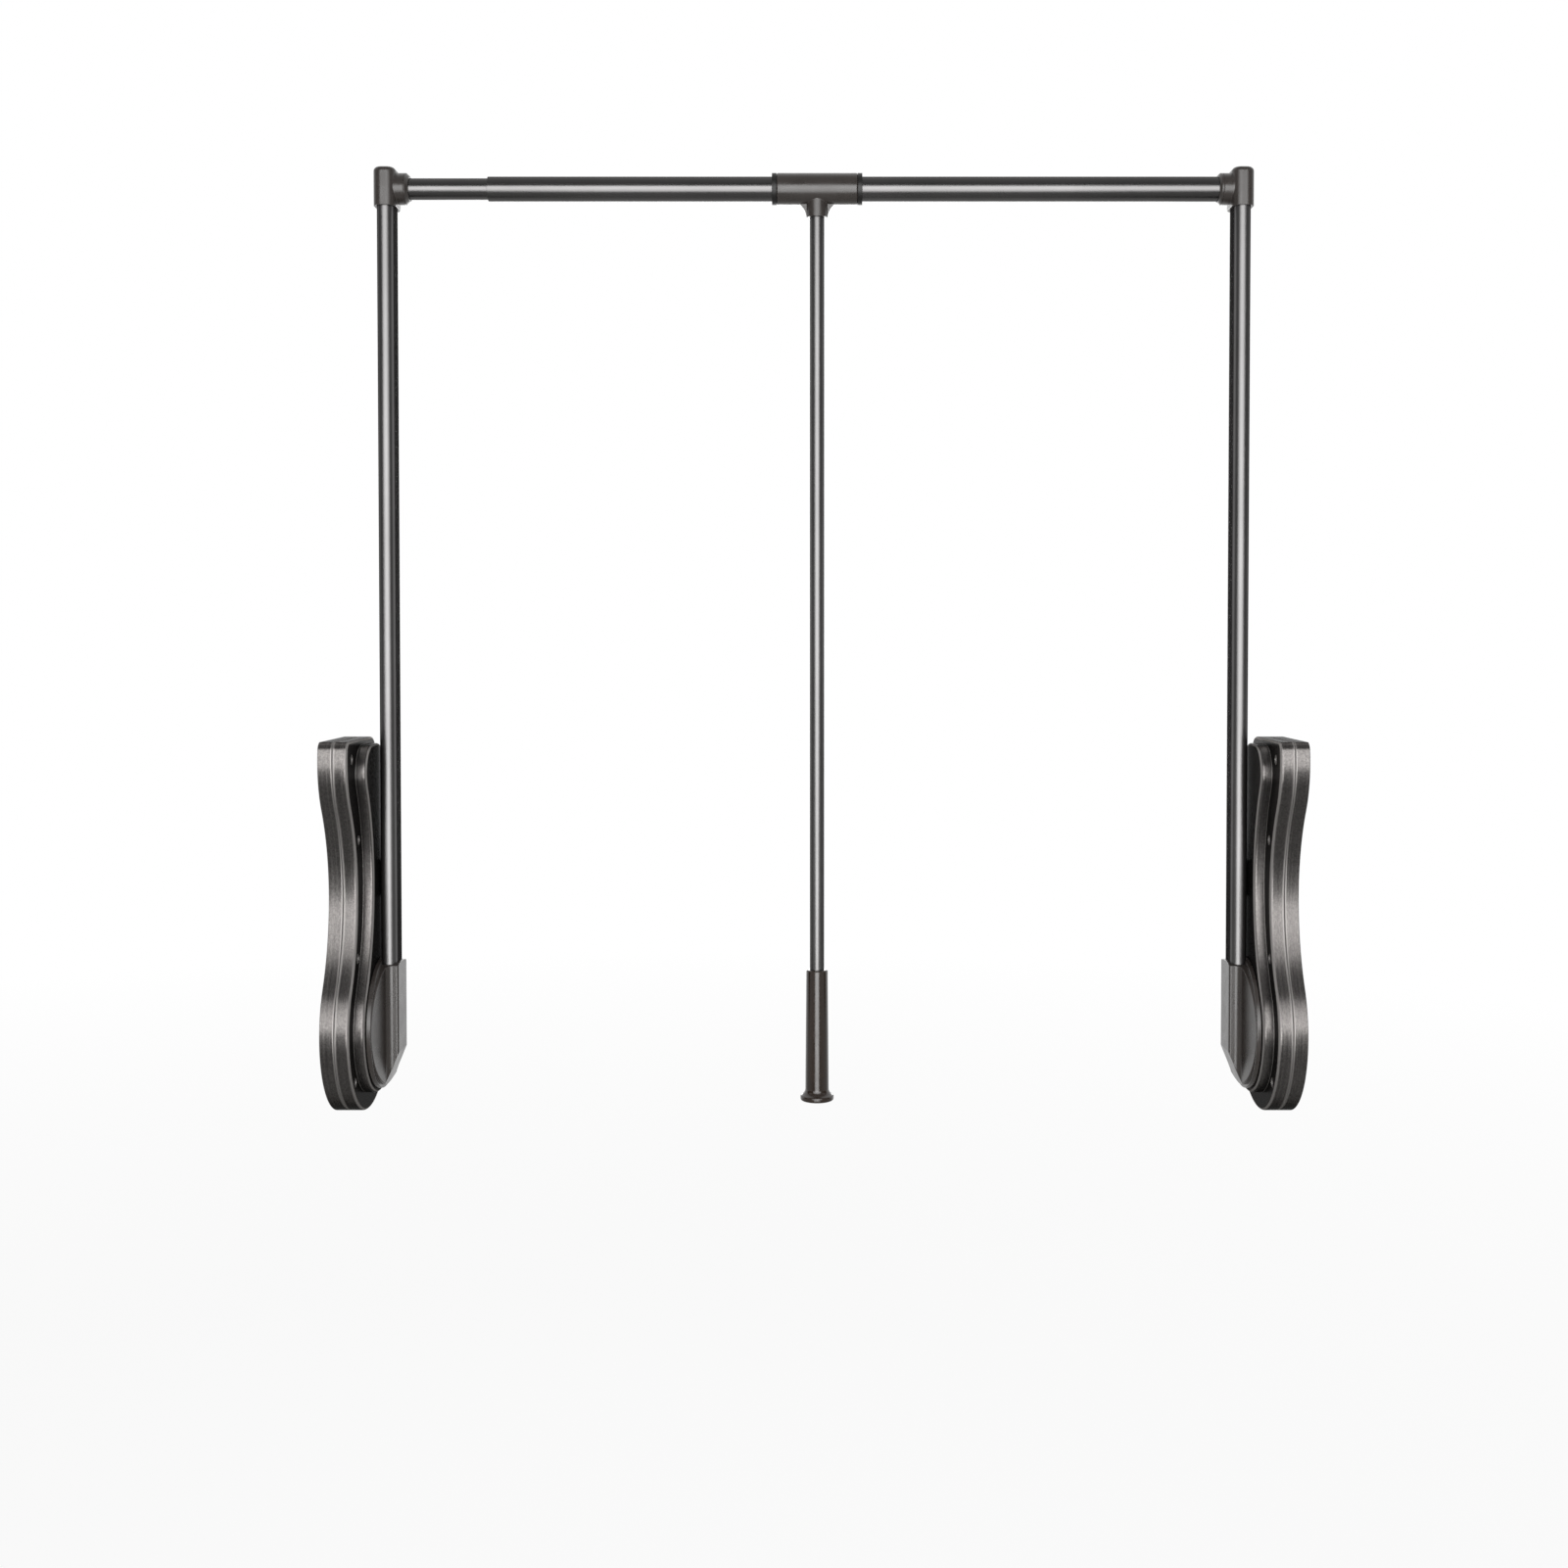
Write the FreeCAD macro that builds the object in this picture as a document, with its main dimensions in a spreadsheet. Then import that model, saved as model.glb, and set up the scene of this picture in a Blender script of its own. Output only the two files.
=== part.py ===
import FreeCAD, Part
import math
import os
from types import SimpleNamespace

import Sketcher

# A pull-down clothes rail for a wardrobe. The origin is on the left housing's outer face, on the pivot
# axis. X runs across the wardrobe to the right housing, Y into the wardrobe and Z up.
# Driving sizes: millimetres, and degrees for angles.
SIZES = (
    # Whole object
    ("overall_width", 870, "outer face to outer face as pictured"),
    ("rail_height", 762.5, "rail axis above the pivot axis"),
    ("running_fit", 0.05, "radial play of a turning or sliding fit"),
    ("seat_fit", 0.05, "play round a piece that is seated"),
    ("moving_gap", 0.3, "gap between flat faces that pass each other"),
    ("overshoot", 1, "length that a cut runs past the face it opens"),
    # Housing outline
    ("case_thickness", 26, "outer face to flange face"),
    ("seam_level", 13, "outer face to the seam of the two shells"),
    ("seam_bevel", 0.3, "bevel of the cover at the seam"),
    ("seam_round", 1.6, "rounding of the back shell at the seam"),
    ("wall", 2.5, "wall of the shells"),
    ("floor_thickness", 3, "back shell's floor"),
    ("case_round", 3, "rounding of the flange's edge"),
    ("lower_radius", 80, "case round the pivot"),
    ("waist_radius", 145, "hollow of the front edge"),
    ("waist_height", 122, "centre of that hollow"),
    ("lobe_radius", 77, "upper bulge of the front edge"),
    ("lobe_height", 243, "centre of that bulge"),
    ("case_top", 262, "top of the case"),
    ("front_corner", 8, "top front corner"),
    ("rear_corner", 12, "top rear corner"),
    ("rear_lean", 12.25, "lean of the rear edge"),
    # Plateau of the cover
    ("plateau_height", 10, "flange face to plateau face"),
    ("plateau_round", 3, "rounding of the plateau's edge"),
    ("plateau_lower_radius", 64, "plateau round the pivot"),
    ("plateau_waist_radius", 174, "hollow of its front edge"),
    ("plateau_waist_height", 132, "centre of that hollow"),
    ("plateau_lobe_radius", 53, "upper bulge of its front edge"),
    ("plateau_lobe_height", 243, "centre of that bulge"),
    ("plateau_top", 257, "top of the plateau"),
    ("plateau_front_corner", 25, "its top front corner"),
    ("plateau_rear_corner", 14, "its top rear corner"),
    # Case screws and their bosses
    ("screw_shank_radius", 1.4, "self-tapping shank"),
    ("screw_head_radius", 3.6, "pan head"),
    ("screw_head_rim", 1, "straight side of the head"),
    ("screw_head_bevel", 1.4, "bevel of the head"),
    ("screw_point_gap", 1.5, "floor to the screw's point"),
    ("screw_recess_radius", 4.5, "recess round the head"),
    ("screw_recess_depth", 3.5, "depth of that recess"),
    ("screw_hole_radius", 1.9, "clearance hole in the cover"),
    ("pilot_radius", 1.5, "pilot hole in the back shell"),
    ("back_boss_radius", 4, "boss in the back shell"),
    ("cover_boss_radius", 6, "boss in the cover"),
    ("corner_screw_inset", 16, "top screw from the front and the top"),
    ("upper_screw_height", 172, "second screw of the front flange"),
    ("lower_screw_height", 66, "third screw of the front flange"),
    ("low_screw_angle", 37, "bottom screws below the horizontal"),
    ("rear_screw_low", 85, "rear flange screw along the leaning edge"),
    ("rear_screw_high", 225, "top rear flange screw along that edge"),
    # Holes for fixing the back shell to the wardrobe side
    ("mount_hole_radius", 2.75, "fixing screw hole"),
    ("mount_front", 44, "front holes ahead of the pivot"),
    ("mount_rear", 2, "rear holes ahead of the pivot"),
    ("mount_low", 52, "low holes below the pivot"),
    ("mount_high", 245, "high holes above the pivot"),
    # Axle, bushes and pinion
    ("rear_journal_radius", 5, "axle in the rear bush"),
    ("rear_bush_radius", 8, "outside of the rear bush"),
    ("rear_bush_length", 5.3, "rear bush above the floor"),
    ("rear_boss_radius", 11, "boss round the rear bush"),
    ("gear_seat_radius", 7, "axle under the pinion"),
    ("gear_seat_flat", 5.5, "flat on that seat, from the axis"),
    ("front_journal_radius", 8, "axle in the front bush"),
    ("front_bush_radius", 10, "outside of the front bush"),
    ("front_bush_collar", 13, "collar of the front bush"),
    ("front_bush_collar_length", 1.6, "thickness of that collar"),
    ("front_boss_level", 24, "inner end of the front bush's boss"),
    ("front_boss_radius", 14, "boss round the front bush"),
    ("axle_flange_radius", 23, "flange under the hub"),
    ("axle_flange_length", 3, "thickness of that flange"),
    ("clip_radius", 10, "snap ring's outside"),
    ("clip_length", 1, "snap ring's thickness"),
    ("clip_mouth", 5, "gap in the snap ring"),
    ("gear_level", 10, "pinion's face from the outer face"),
    ("gear_width", 8, "width of pinion and rack"),
    ("gear_module", 2, "tooth module"),
    ("gear_teeth", 20, "teeth on the pinion"),
    ("pressure_angle", 20, "flank angle of the teeth"),
    ("tooth_base_half", 0.86, "half tooth at the base circle, in modules"),
    ("tooth_tip_half", 0.33, "half tooth at the tip, in modules"),
    ("tooth_root", 1.25, "tooth root below the pitch line, in modules"),
    ("gear_boss_radius", 12, "pinion's boss"),
    # Rack, spring and damper
    ("rack_back", 10, "rack's back behind its pitch line"),
    ("rack_backlash", 0.1, "play on each side of a tooth space"),
    ("rack_spaces", 11, "tooth spaces"),
    ("rack_spaces_above", 2, "tooth spaces above the pivot"),
    ("rack_end", 0.6, "rack below its lowest tooth"),
    ("rack_bed_inset", 1, "bed under the rack, short of its back"),
    ("cross_head_bottom", 50, "cross head above the pivot"),
    ("cross_head_height", 12, "height of the cross head"),
    ("cross_head_front", 16, "cross head ahead of the pivot"),
    ("cross_head_thickness", 14, "cross head across the wardrobe"),
    ("guide_rib", 2.7, "rib behind the rack"),
    ("spring_axis", 18, "spring behind the pivot"),
    ("spring_radius", 9, "outside of the coils"),
    ("spring_wire", 3.2, "thickness of the coils"),
    ("guide_radius", 4, "spring's guide rod"),
    ("guide_foot", 108, "foot of the guide rod above the pivot"),
    ("anchor_bottom", 214, "anchor block above the pivot"),
    ("anchor_height", 12, "height of the anchor block"),
    ("anchor_front", 17, "anchor block ahead of the pivot"),
    ("anchor_rear", 28, "anchor block behind the pivot"),
    ("anchor_level", 22, "anchor block's inner face from the outer face"),
    ("damper_axis", 8, "damper ahead of the pivot"),
    ("damper_radius", 7, "damper's cylinder"),
    ("damper_bore", 5.5, "bore of that cylinder"),
    ("damper_foot", 112, "foot of the cylinder above the pivot"),
    ("damper_end_wall", 6, "ends of the cylinder"),
    ("damper_rod_radius", 2.5, "damper's rod"),
    ("piston_level", 146, "piston above the pivot"),
    ("piston_length", 6, "length of the piston"),
    # Arm stop
    ("stop_height", 12, "block above the plateau"),
    ("stop_depth", 18, "block behind the arm"),
    ("stop_foot", 112, "foot of the block above the pivot"),
    ("stop_length", 38, "length of the block on the plateau"),
    ("stop_slope", 9, "length of each sloping end"),
    ("stop_peg_radius", 3, "peg in the cover"),
    # Arm and hub
    ("arm_width", 15, "arm tube across the wardrobe"),
    ("arm_depth", 30, "arm tube into the wardrobe"),
    ("arm_corner", 7, "rounding of the arm tube's nose"),
    ("arm_wall", 1.5, "wall of the arm tube"),
    ("arm_clearance", 2.5, "plateau to arm tube"),
    ("arm_foot", 25, "foot of the arm tube above the pivot"),
    ("hub_clearance", 0.5, "plateau to hub"),
    ("hub_radius", 60, "rim of the hub"),
    ("hub_rim", 4, "height of that rim"),
    ("hub_rim_round", 0.8, "rounding of that rim"),
    ("hub_dome_radius", 57, "dome and ridge inside the rim"),
    ("hub_cover", 2.5, "hub over the arm tube"),
    ("hub_shoulder", 5, "rim to the foot of the ridge"),
    ("hub_hollow", 6, "hollow along the foot of the ridge"),
    ("hub_ridge_round", 2, "rounding of the ridge"),
    ("hub_slope_start", 25, "ridge's lower end below the pivot"),
    ("hub_slope_rise", 1, "ridge's lower end above the rim"),
    ("hub_screw_circle", 17, "circle of the hub screws"),
    ("hub_screw_radius", 2, "hub screw's shank"),
    ("hub_screw_length", 11, "length of the hub screws"),
    # Corner connectors
    ("connector_wall", 2.5, "connector beside the arm tube"),
    ("connector_depth", 34, "connector into the wardrobe"),
    ("connector_corner", 8, "rounding of its upright edges"),
    ("connector_rise", 17.5, "connector above and below the rail axis"),
    ("connector_roof", 5, "connector over the arm tube"),
    ("connector_round", 4, "rounding of its top"),
    ("collar_radius", 14.2, "collar round the rail"),
    ("collar_length", 11, "length of the collar"),
    ("collar_groove", 0.6, "groove round the collar, wide and deep"),
    ("collar_lip", 3.4, "collar beyond that groove"),
    ("collar_bevel_share", 0.6, "bevel of the collar's end, as a part of its wall"),
    # Telescopic rail
    ("inner_tube_radius", 9.5, "thin tube"),
    ("outer_tube_radius", 11, "thick tube"),
    ("rail_wall", 1.2, "wall of both tubes"),
    ("rail_exposed", 71.5, "thin tube in sight as pictured"),
    ("rail_overlap", 203, "thin tube inside the thick one as pictured"),
    ("glide_collar", 5, "glide's sliding collar"),
    ("glide_spigot", 14, "glide inside the thin tube"),
    # Tee, pull rod and grip
    ("tee_offset", 3, "tee beside the middle of the width"),
    ("tee_length", 82, "tee over its end rings"),
    ("tee_radius", 14.25, "outside of the sleeve"),
    ("tee_bore", 12.5, "bore of the sleeve"),
    ("tee_ring_length", 4, "end ring in sight"),
    ("tee_spigot_length", 9, "end ring inside the sleeve"),
    ("tee_boss_radius", 9.7, "boss for the rod"),
    ("tee_boss_drop", 26, "boss below the rail axis"),
    ("tee_end_bevel", 0.8, "bevel of the sleeve's ends"),
    ("tee_web_half", 18, "half width of the web under the sleeve"),
    ("tee_web_drop", 25, "web below the rail axis"),
    ("tee_web_hollow", 18, "hollow of the web's edges"),
    ("tee_web_thickness", 5, "thickness of the web"),
    ("rod_radius", 6.5, "pull rod"),
    ("rod_wall", 1.2, "wall of the pull rod"),
    ("rod_socket", 11, "rod inside the boss"),
    ("rod_reach", 714.5, "rail axis to the grip's top"),
    ("rod_in_grip", 32, "rod inside the grip"),
    ("grip_length", 122, "length of the grip"),
    ("grip_top_radius", 9.9, "grip's upper end"),
    ("grip_top_bevel", 1, "bevel of that end"),
    ("grip_low_radius", 10.8, "grip above the flare"),
    ("grip_flare_radius", 15.4, "flared end"),
    ("grip_flare_height", 11.9, "flare above the grip's bottom"),
    ("grip_rim_height", 5.9, "rim's upper edge above the bottom"),
    ("grip_rim_side", 4.4, "height of the rim's side"),
    ("grip_rim_round", 1.8, "rounding of the rim"),
)


class Size:
    """A size that carries its number and the spreadsheet expression that gives it."""

    def __init__(self, number, text):
        self.number = float(number)
        self.text = text

    def __add__(self, other):
        other = as_size(other)
        return Size(self.number + other.number, "(%s + %s)" % (self.text, other.text))

    def __sub__(self, other):
        other = as_size(other)
        return Size(self.number - other.number, "(%s - %s)" % (self.text, other.text))

    def __mul__(self, other):
        other = as_size(other)
        return Size(self.number * other.number, "(%s * %s)" % (self.text, other.text))

    def __truediv__(self, other):
        other = as_size(other)
        return Size(self.number / other.number, "(%s / %s)" % (self.text, other.text))

    def __radd__(self, other):
        return as_size(other) + self

    def __rsub__(self, other):
        return as_size(other) - self

    def __rmul__(self, other):
        return as_size(other) * self

    def __neg__(self):
        return as_size(0) - self


def as_size(value):
    if isinstance(value, Size):
        return value
    return Size(value, "%.6f" % value)


def root(size):
    return Size(math.sqrt(size.number), "sqrt(%s)" % size.text)


def cosine(angle):
    return Size(math.cos(math.radians(angle.number)), "cos(%s)" % angle.text)


def sine(angle):
    return Size(math.sin(math.radians(angle.number)), "sin(%s)" % angle.text)


def side_of_triangle(longest, other):
    """The third side of a right-angled triangle."""
    return root(longest * longest - other * other)


doc = FreeCAD.newDocument("ClothesLift")
sheet = doc.addObject("Spreadsheet::Sheet", "Sizes")
for row, (alias, number, note) in enumerate(SIZES, start=1):
    sheet.set("A%d" % row, note)
    sheet.set("B%d" % row, str(number))
    sheet.setAlias("B%d" % row, alias)
doc.recompute()
dim = SimpleNamespace(**{alias: Size(number, "Sizes." + alias) for alias, number, note in SIZES})
pieces = []


class Outline:
    """A closed run of lines and arcs in a sketch, with every corner and radius given by sizes."""

    def __init__(self, x, y):
        self.corners = [(as_size(x), as_size(y))]
        self.runs = []

    def line(self, x, y):
        self.runs.append((None, 1))
        self.corners.append((as_size(x), as_size(y)))
        return self

    def arc(self, x, y, radius, turn=1):
        """An arc of under half a circle, counter-clockwise for turn 1 and clockwise for -1."""
        self.runs.append((as_size(radius), turn))
        self.corners.append((as_size(x), as_size(y)))
        return self

    def close(self, radius=None, turn=1):
        self.runs.append((radius, turn))
        return self

    def draw(self, sketch):
        first = len(sketch.Geometry)
        count = len(self.runs)
        ends = []
        for number, (radius, turn) in enumerate(self.runs):
            start = flat_point(*self.corners[number])
            end = flat_point(*self.corners[(number + 1) % count])
            if radius is None:
                sketch.addGeometry(Part.LineSegment(start, end))
                ends.append((1, 2))
            else:
                sketch.addGeometry(arc_between(start, end, radius.number, turn))
                ends.append((1, 2) if turn > 0 else (2, 1))
        for number, (radius, turn) in enumerate(self.runs):
            after = (number + 1) % count
            joint = (first + number, ends[number][1], first + after, ends[after][0])
            sketch.addConstraint(Sketcher.Constraint("Coincident", *joint))
            place_point(sketch, first + number, ends[number][0], *self.corners[number])
            if radius is not None:
                hold(sketch, Sketcher.Constraint("Radius", first + number, radius.number), radius)


def flat_point(x, y):
    return FreeCAD.Vector(x.number, y.number, 0)


def arc_between(start, end, radius, turn):
    chord = end - start
    left = FreeCAD.Vector(-chord.y, chord.x, 0).normalize()
    apart = math.sqrt(radius ** 2 - (chord.Length / 2) ** 2)
    centre = (start + end) / 2 + left * apart * turn
    if turn < 0:
        start, end = end, start
    start_angle = math.atan2(start.y - centre.y, start.x - centre.x)
    end_angle = math.atan2(end.y - centre.y, end.x - centre.x)
    if end_angle < start_angle:
        end_angle += 2 * math.pi
    return Part.ArcOfCircle(Part.Circle(centre, FreeCAD.Vector(0, 0, 1), radius), start_angle, end_angle)


def hold(sketch, constraint, size):
    """Add a dimension to a sketch and tie it to the spreadsheet."""
    index = sketch.addConstraint(constraint)
    if "Sizes." in size.text:
        sketch.setExpression("Constraints[%d]" % index, size.text)


def place_point(sketch, geometry, end, x, y):
    hold(sketch, Sketcher.Constraint("DistanceX", -1, 1, geometry, end, x.number), x)
    hold(sketch, Sketcher.Constraint("DistanceY", -1, 1, geometry, end, y.number), y)


def draw_circle(sketch, x, y, radius):
    x = as_size(x)
    y = as_size(y)
    circle = Part.Circle(flat_point(x, y), FreeCAD.Vector(0, 0, 1), radius.number)
    geometry = sketch.addGeometry(circle)
    place_point(sketch, geometry, 3, x, y)
    hold(sketch, Sketcher.Constraint("Radius", geometry, radius.number), radius)


def new_body(label, x=0, y=0, z=0):
    body = doc.addObject("PartDesign::Body", label)
    body.Label = label
    for axis, offset in zip("xyz", (x, y, z)):
        body.setExpression("Placement.Base." + axis, as_size(offset).text)
    pieces.append(body)
    return body


def new_sketch(body, plane, level, outlines=(), circles=()):
    """A sketch parallel to one of the body's own planes, at a level along that plane's normal."""
    sketch = body.newObject("Sketcher::SketchObject", "Sketch")
    support = [feature for feature in body.Origin.OriginFeatures if feature.Role == plane][0]
    sketch.AttachmentSupport = (support, [""])
    sketch.MapMode = "FlatFace"
    sketch.setExpression("AttachmentOffset.Base.z", as_size(level).text)
    for outline in outlines:
        outline.draw(sketch)
    for circle in circles:
        draw_circle(sketch, *circle)
    return sketch


def extrude(kind, body, sketch, length, reverse=False, both_ways=False):
    feature = body.newObject("PartDesign::" + kind, kind)
    feature.Profile = sketch
    feature.setExpression("Length", as_size(length).text)
    feature.Reversed = reverse
    if both_ways:
        feature.SideType = "Symmetric"
    return feature


def pad(body, sketch, length, **options):
    return extrude("Pad", body, sketch, length, **options)


def pocket(body, sketch, length, **options):
    return extrude("Pocket", body, sketch, length, **options)


def revolve(body, outline, plane, axis):
    """Turn an outline about the horizontal or upright axis of its sketch."""
    sketch = new_sketch(body, plane, 0, [outline])
    feature = body.newObject("PartDesign::Revolution", "Revolution")
    feature.Profile = sketch
    feature.ReferenceAxis = (sketch, [axis])
    feature.Angle = 360
    return feature


def edges_where(feature, wanted):
    """Names of the edges whose ends and middle all pass a test."""
    doc.recompute()
    names = []
    for number, edge in enumerate(feature.Shape.Edges, start=1):
        points = [vertex.Point for vertex in edge.Vertexes]
        points.append(edge.valueAt((edge.FirstParameter + edge.LastParameter) / 2))
        if all(wanted(point) for point in points):
            names.append("Edge%d" % number)
    return names


def at_level(axis, level):
    """Test for points at a level along an axis, 0 for X, 1 for Y and 2 for Z."""
    return lambda point: abs(point[axis] - level.number) < 0.001


def soften(kind, body, feature, wanted, size):
    """Fillet or chamfer the edges that pass a test."""
    softened = body.newObject("PartDesign::" + kind, kind)
    softened.Base = (feature, edges_where(feature, wanted))
    softened.setExpression("Radius" if kind == "Fillet" else "Size", size.text)
    return softened


def box_outline(low_x, low_y, high_x, high_y):
    return Outline(low_x, low_y).line(high_x, low_y).line(high_x, high_y).line(low_x, high_y).close()


def rounded_outline(middle_x, width, depth, corner):
    """A rectangle with round corners, centred on an X and on Y zero."""
    left = middle_x - width / 2
    right = middle_x + width / 2
    back = depth / 2
    front = -back
    outline = Outline(left + corner, front)
    outline.line(right - corner, front)
    outline.arc(right, front + corner, corner)
    outline.line(right, back - corner)
    outline.arc(right - corner, back, corner)
    outline.line(left + corner, back)
    outline.arc(left, back - corner, corner)
    outline.line(left, front + corner)
    return outline.close(corner)


# Levels across the left unit, from the outer face, that several pieces share
plateau_level = dim.case_thickness + dim.plateau_height
hub_level = plateau_level + dim.hub_clearance
arm_level = plateau_level + dim.arm_clearance
arm_middle = arm_level + dim.arm_width / 2
hub_top = arm_level + dim.arm_width + dim.hub_cover
connector_width = dim.arm_width + 2 * dim.connector_wall
connector_face = arm_middle + connector_width / 2
collar_end = connector_face + dim.collar_length
gear_end = dim.gear_level + dim.gear_width
mechanism_level = dim.gear_level + dim.gear_width / 2
pitch_radius = dim.gear_module * dim.gear_teeth / 2
tooth_pitch = Size(math.pi, "pi") * dim.gear_module
rack_foot = tooth_pitch * (dim.rack_spaces - dim.rack_spaces_above - 0.5) + dim.rack_end
front_bush_end = dim.front_boss_level - dim.front_bush_collar_length
rear_bush_end = dim.floor_thickness + dim.rear_bush_length
axle_flange_level = hub_level + dim.hub_clearance
lean_cos = cosine(dim.rear_lean)
lean_sin = sine(dim.rear_lean)


def lobe_centres(lower, waist, waist_height, lobe, lobe_height):
    """Y of the waist's and the lobe's centres, each arc tangent to the one below it."""
    waist_y = -side_of_triangle(lower + waist, waist_height)
    lobe_y = waist_y + side_of_triangle(waist + lobe, lobe_height - waist_height)
    return waist_y, lobe_y


def lobed_outline(lower, waist, waist_height, lobe, lobe_height, top, front_corner, rear_corner, inset):
    """Side outline: disc round the pivot, hollow waist and bulging lobe in front, leaning edge behind."""
    waist_y, lobe_y = lobe_centres(lower, waist, waist_height, lobe, lobe_height)
    low = lower - inset
    hollow = waist + inset
    bulge = lobe - inset
    roof = top - inset
    front = front_corner - inset
    rear = rear_corner - inset
    front_z = roof - front
    front_y = lobe_y - side_of_triangle(bulge - front, front_z - lobe_height)
    rear_z = roof - rear
    rear_y = (low - rear - rear_z * lean_sin) / lean_cos
    to_corner = bulge / (bulge - front)
    to_waist = bulge / (lobe + waist)
    to_lower = low / (lower + waist)
    outline = Outline(rear_y, roof)
    outline.line(front_y, roof)
    outline.arc(lobe_y + (front_y - lobe_y) * to_corner,
                lobe_height + (front_z - lobe_height) * to_corner, front)
    outline.arc(lobe_y + (waist_y - lobe_y) * to_waist,
                lobe_height + (waist_height - lobe_height) * to_waist, bulge)
    outline.arc(waist_y * to_lower, waist_height * to_lower, hollow, -1)
    outline.arc(0, -low, low)
    outline.arc(low * lean_cos, low * lean_sin, low)
    outline.line(rear_y + rear * lean_cos, rear_z + rear * lean_sin)
    return outline.close(rear)


def case_outline(inset=0):
    return lobed_outline(dim.lower_radius, dim.waist_radius, dim.waist_height,
                         dim.lobe_radius, dim.lobe_height, dim.case_top,
                         dim.front_corner, dim.rear_corner, as_size(inset))


def plateau_outline(inset=0):
    return lobed_outline(dim.plateau_lower_radius, dim.plateau_waist_radius, dim.plateau_waist_height,
                         dim.plateau_lobe_radius, dim.plateau_lobe_height, dim.plateau_top,
                         dim.plateau_front_corner, dim.plateau_rear_corner, as_size(inset))


def case_screw_places():
    """Y and Z of the case screws, in the middle of the flange round the plateau."""
    case = (dim.lower_radius, dim.waist_radius, dim.waist_height, dim.lobe_radius, dim.lobe_height)
    raised = (dim.plateau_lower_radius, dim.plateau_waist_radius, dim.plateau_waist_height,
              dim.plateau_lobe_radius, dim.plateau_lobe_height)
    case_waist, case_lobe = lobe_centres(*case)
    raised_waist = lobe_centres(*raised)[0]
    places = [(case_lobe - dim.lobe_radius + dim.corner_screw_inset, dim.case_top - dim.corner_screw_inset)]
    for height in (dim.upper_screw_height, dim.lower_screw_height):
        case_edge = case_waist + side_of_triangle(dim.waist_radius, height - dim.waist_height)
        raised_rise = height - dim.plateau_waist_height
        raised_edge = raised_waist + side_of_triangle(dim.plateau_waist_radius, raised_rise)
        places.append(((case_edge + raised_edge) / 2, height))
    ring = (dim.lower_radius + dim.plateau_lower_radius) / 2
    for side in (-1, 1):
        places.append((ring * cosine(dim.low_screw_angle) * side, -ring * sine(dim.low_screw_angle)))
    for along in (dim.rear_screw_low, dim.rear_screw_high):
        places.append((ring * lean_cos - along * lean_sin, ring * lean_sin + along * lean_cos))
    return places


def make_back_shell():
    body = new_body("left_back_shell")
    screws = case_screw_places()
    rack_back = pitch_radius + dim.rack_back
    shell = pad(body, new_sketch(body, "YZ_Plane", 0, [case_outline()]), dim.seam_level)
    soften("Fillet", body, shell, at_level(0, dim.seam_level), dim.seam_round)
    hollow = new_sketch(body, "YZ_Plane", dim.seam_level, [case_outline(dim.wall)])
    pocket(body, hollow, dim.seam_level - dim.floor_thickness)
    bosses = [(y, z, dim.back_boss_radius) for y, z in screws]
    pad(body, new_sketch(body, "YZ_Plane", 0, circles=bosses), dim.seam_level)
    pad(body, new_sketch(body, "YZ_Plane", 0, circles=[(0, 0, dim.rear_boss_radius)]), rear_bush_end)
    rack_bed = box_outline(pitch_radius + dim.gear_module, -rack_foot + dim.wall,
                           rack_back - dim.rack_bed_inset, dim.cross_head_bottom - dim.wall)
    pad(body, new_sketch(body, "YZ_Plane", 0, [rack_bed]), dim.gear_level - dim.moving_gap)
    rack_rib = box_outline(rack_back + dim.moving_gap, -rack_foot + dim.wall,
                           rack_back + dim.moving_gap + dim.guide_rib, dim.cross_head_bottom - dim.wall)
    pad(body, new_sketch(body, "YZ_Plane", 0, [rack_rib]), gear_end)
    pilots = [(y, z, dim.pilot_radius) for y, z in screws]
    pocket(body, new_sketch(body, "YZ_Plane", dim.seam_level, circles=pilots),
           dim.seam_level - dim.floor_thickness)
    bush_bore = [(0, 0, dim.rear_bush_radius + dim.seat_fit)]
    pocket(body, new_sketch(body, "YZ_Plane", rear_bush_end, circles=bush_bore), dim.rear_bush_length)
    mounts = []
    for y in (-dim.mount_front, -dim.mount_rear):
        for z in (-dim.mount_low, dim.mount_high):
            mounts.append((y, z, dim.mount_hole_radius))
    pocket(body, new_sketch(body, "YZ_Plane", dim.floor_thickness, circles=mounts), dim.floor_thickness)
    return body


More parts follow.
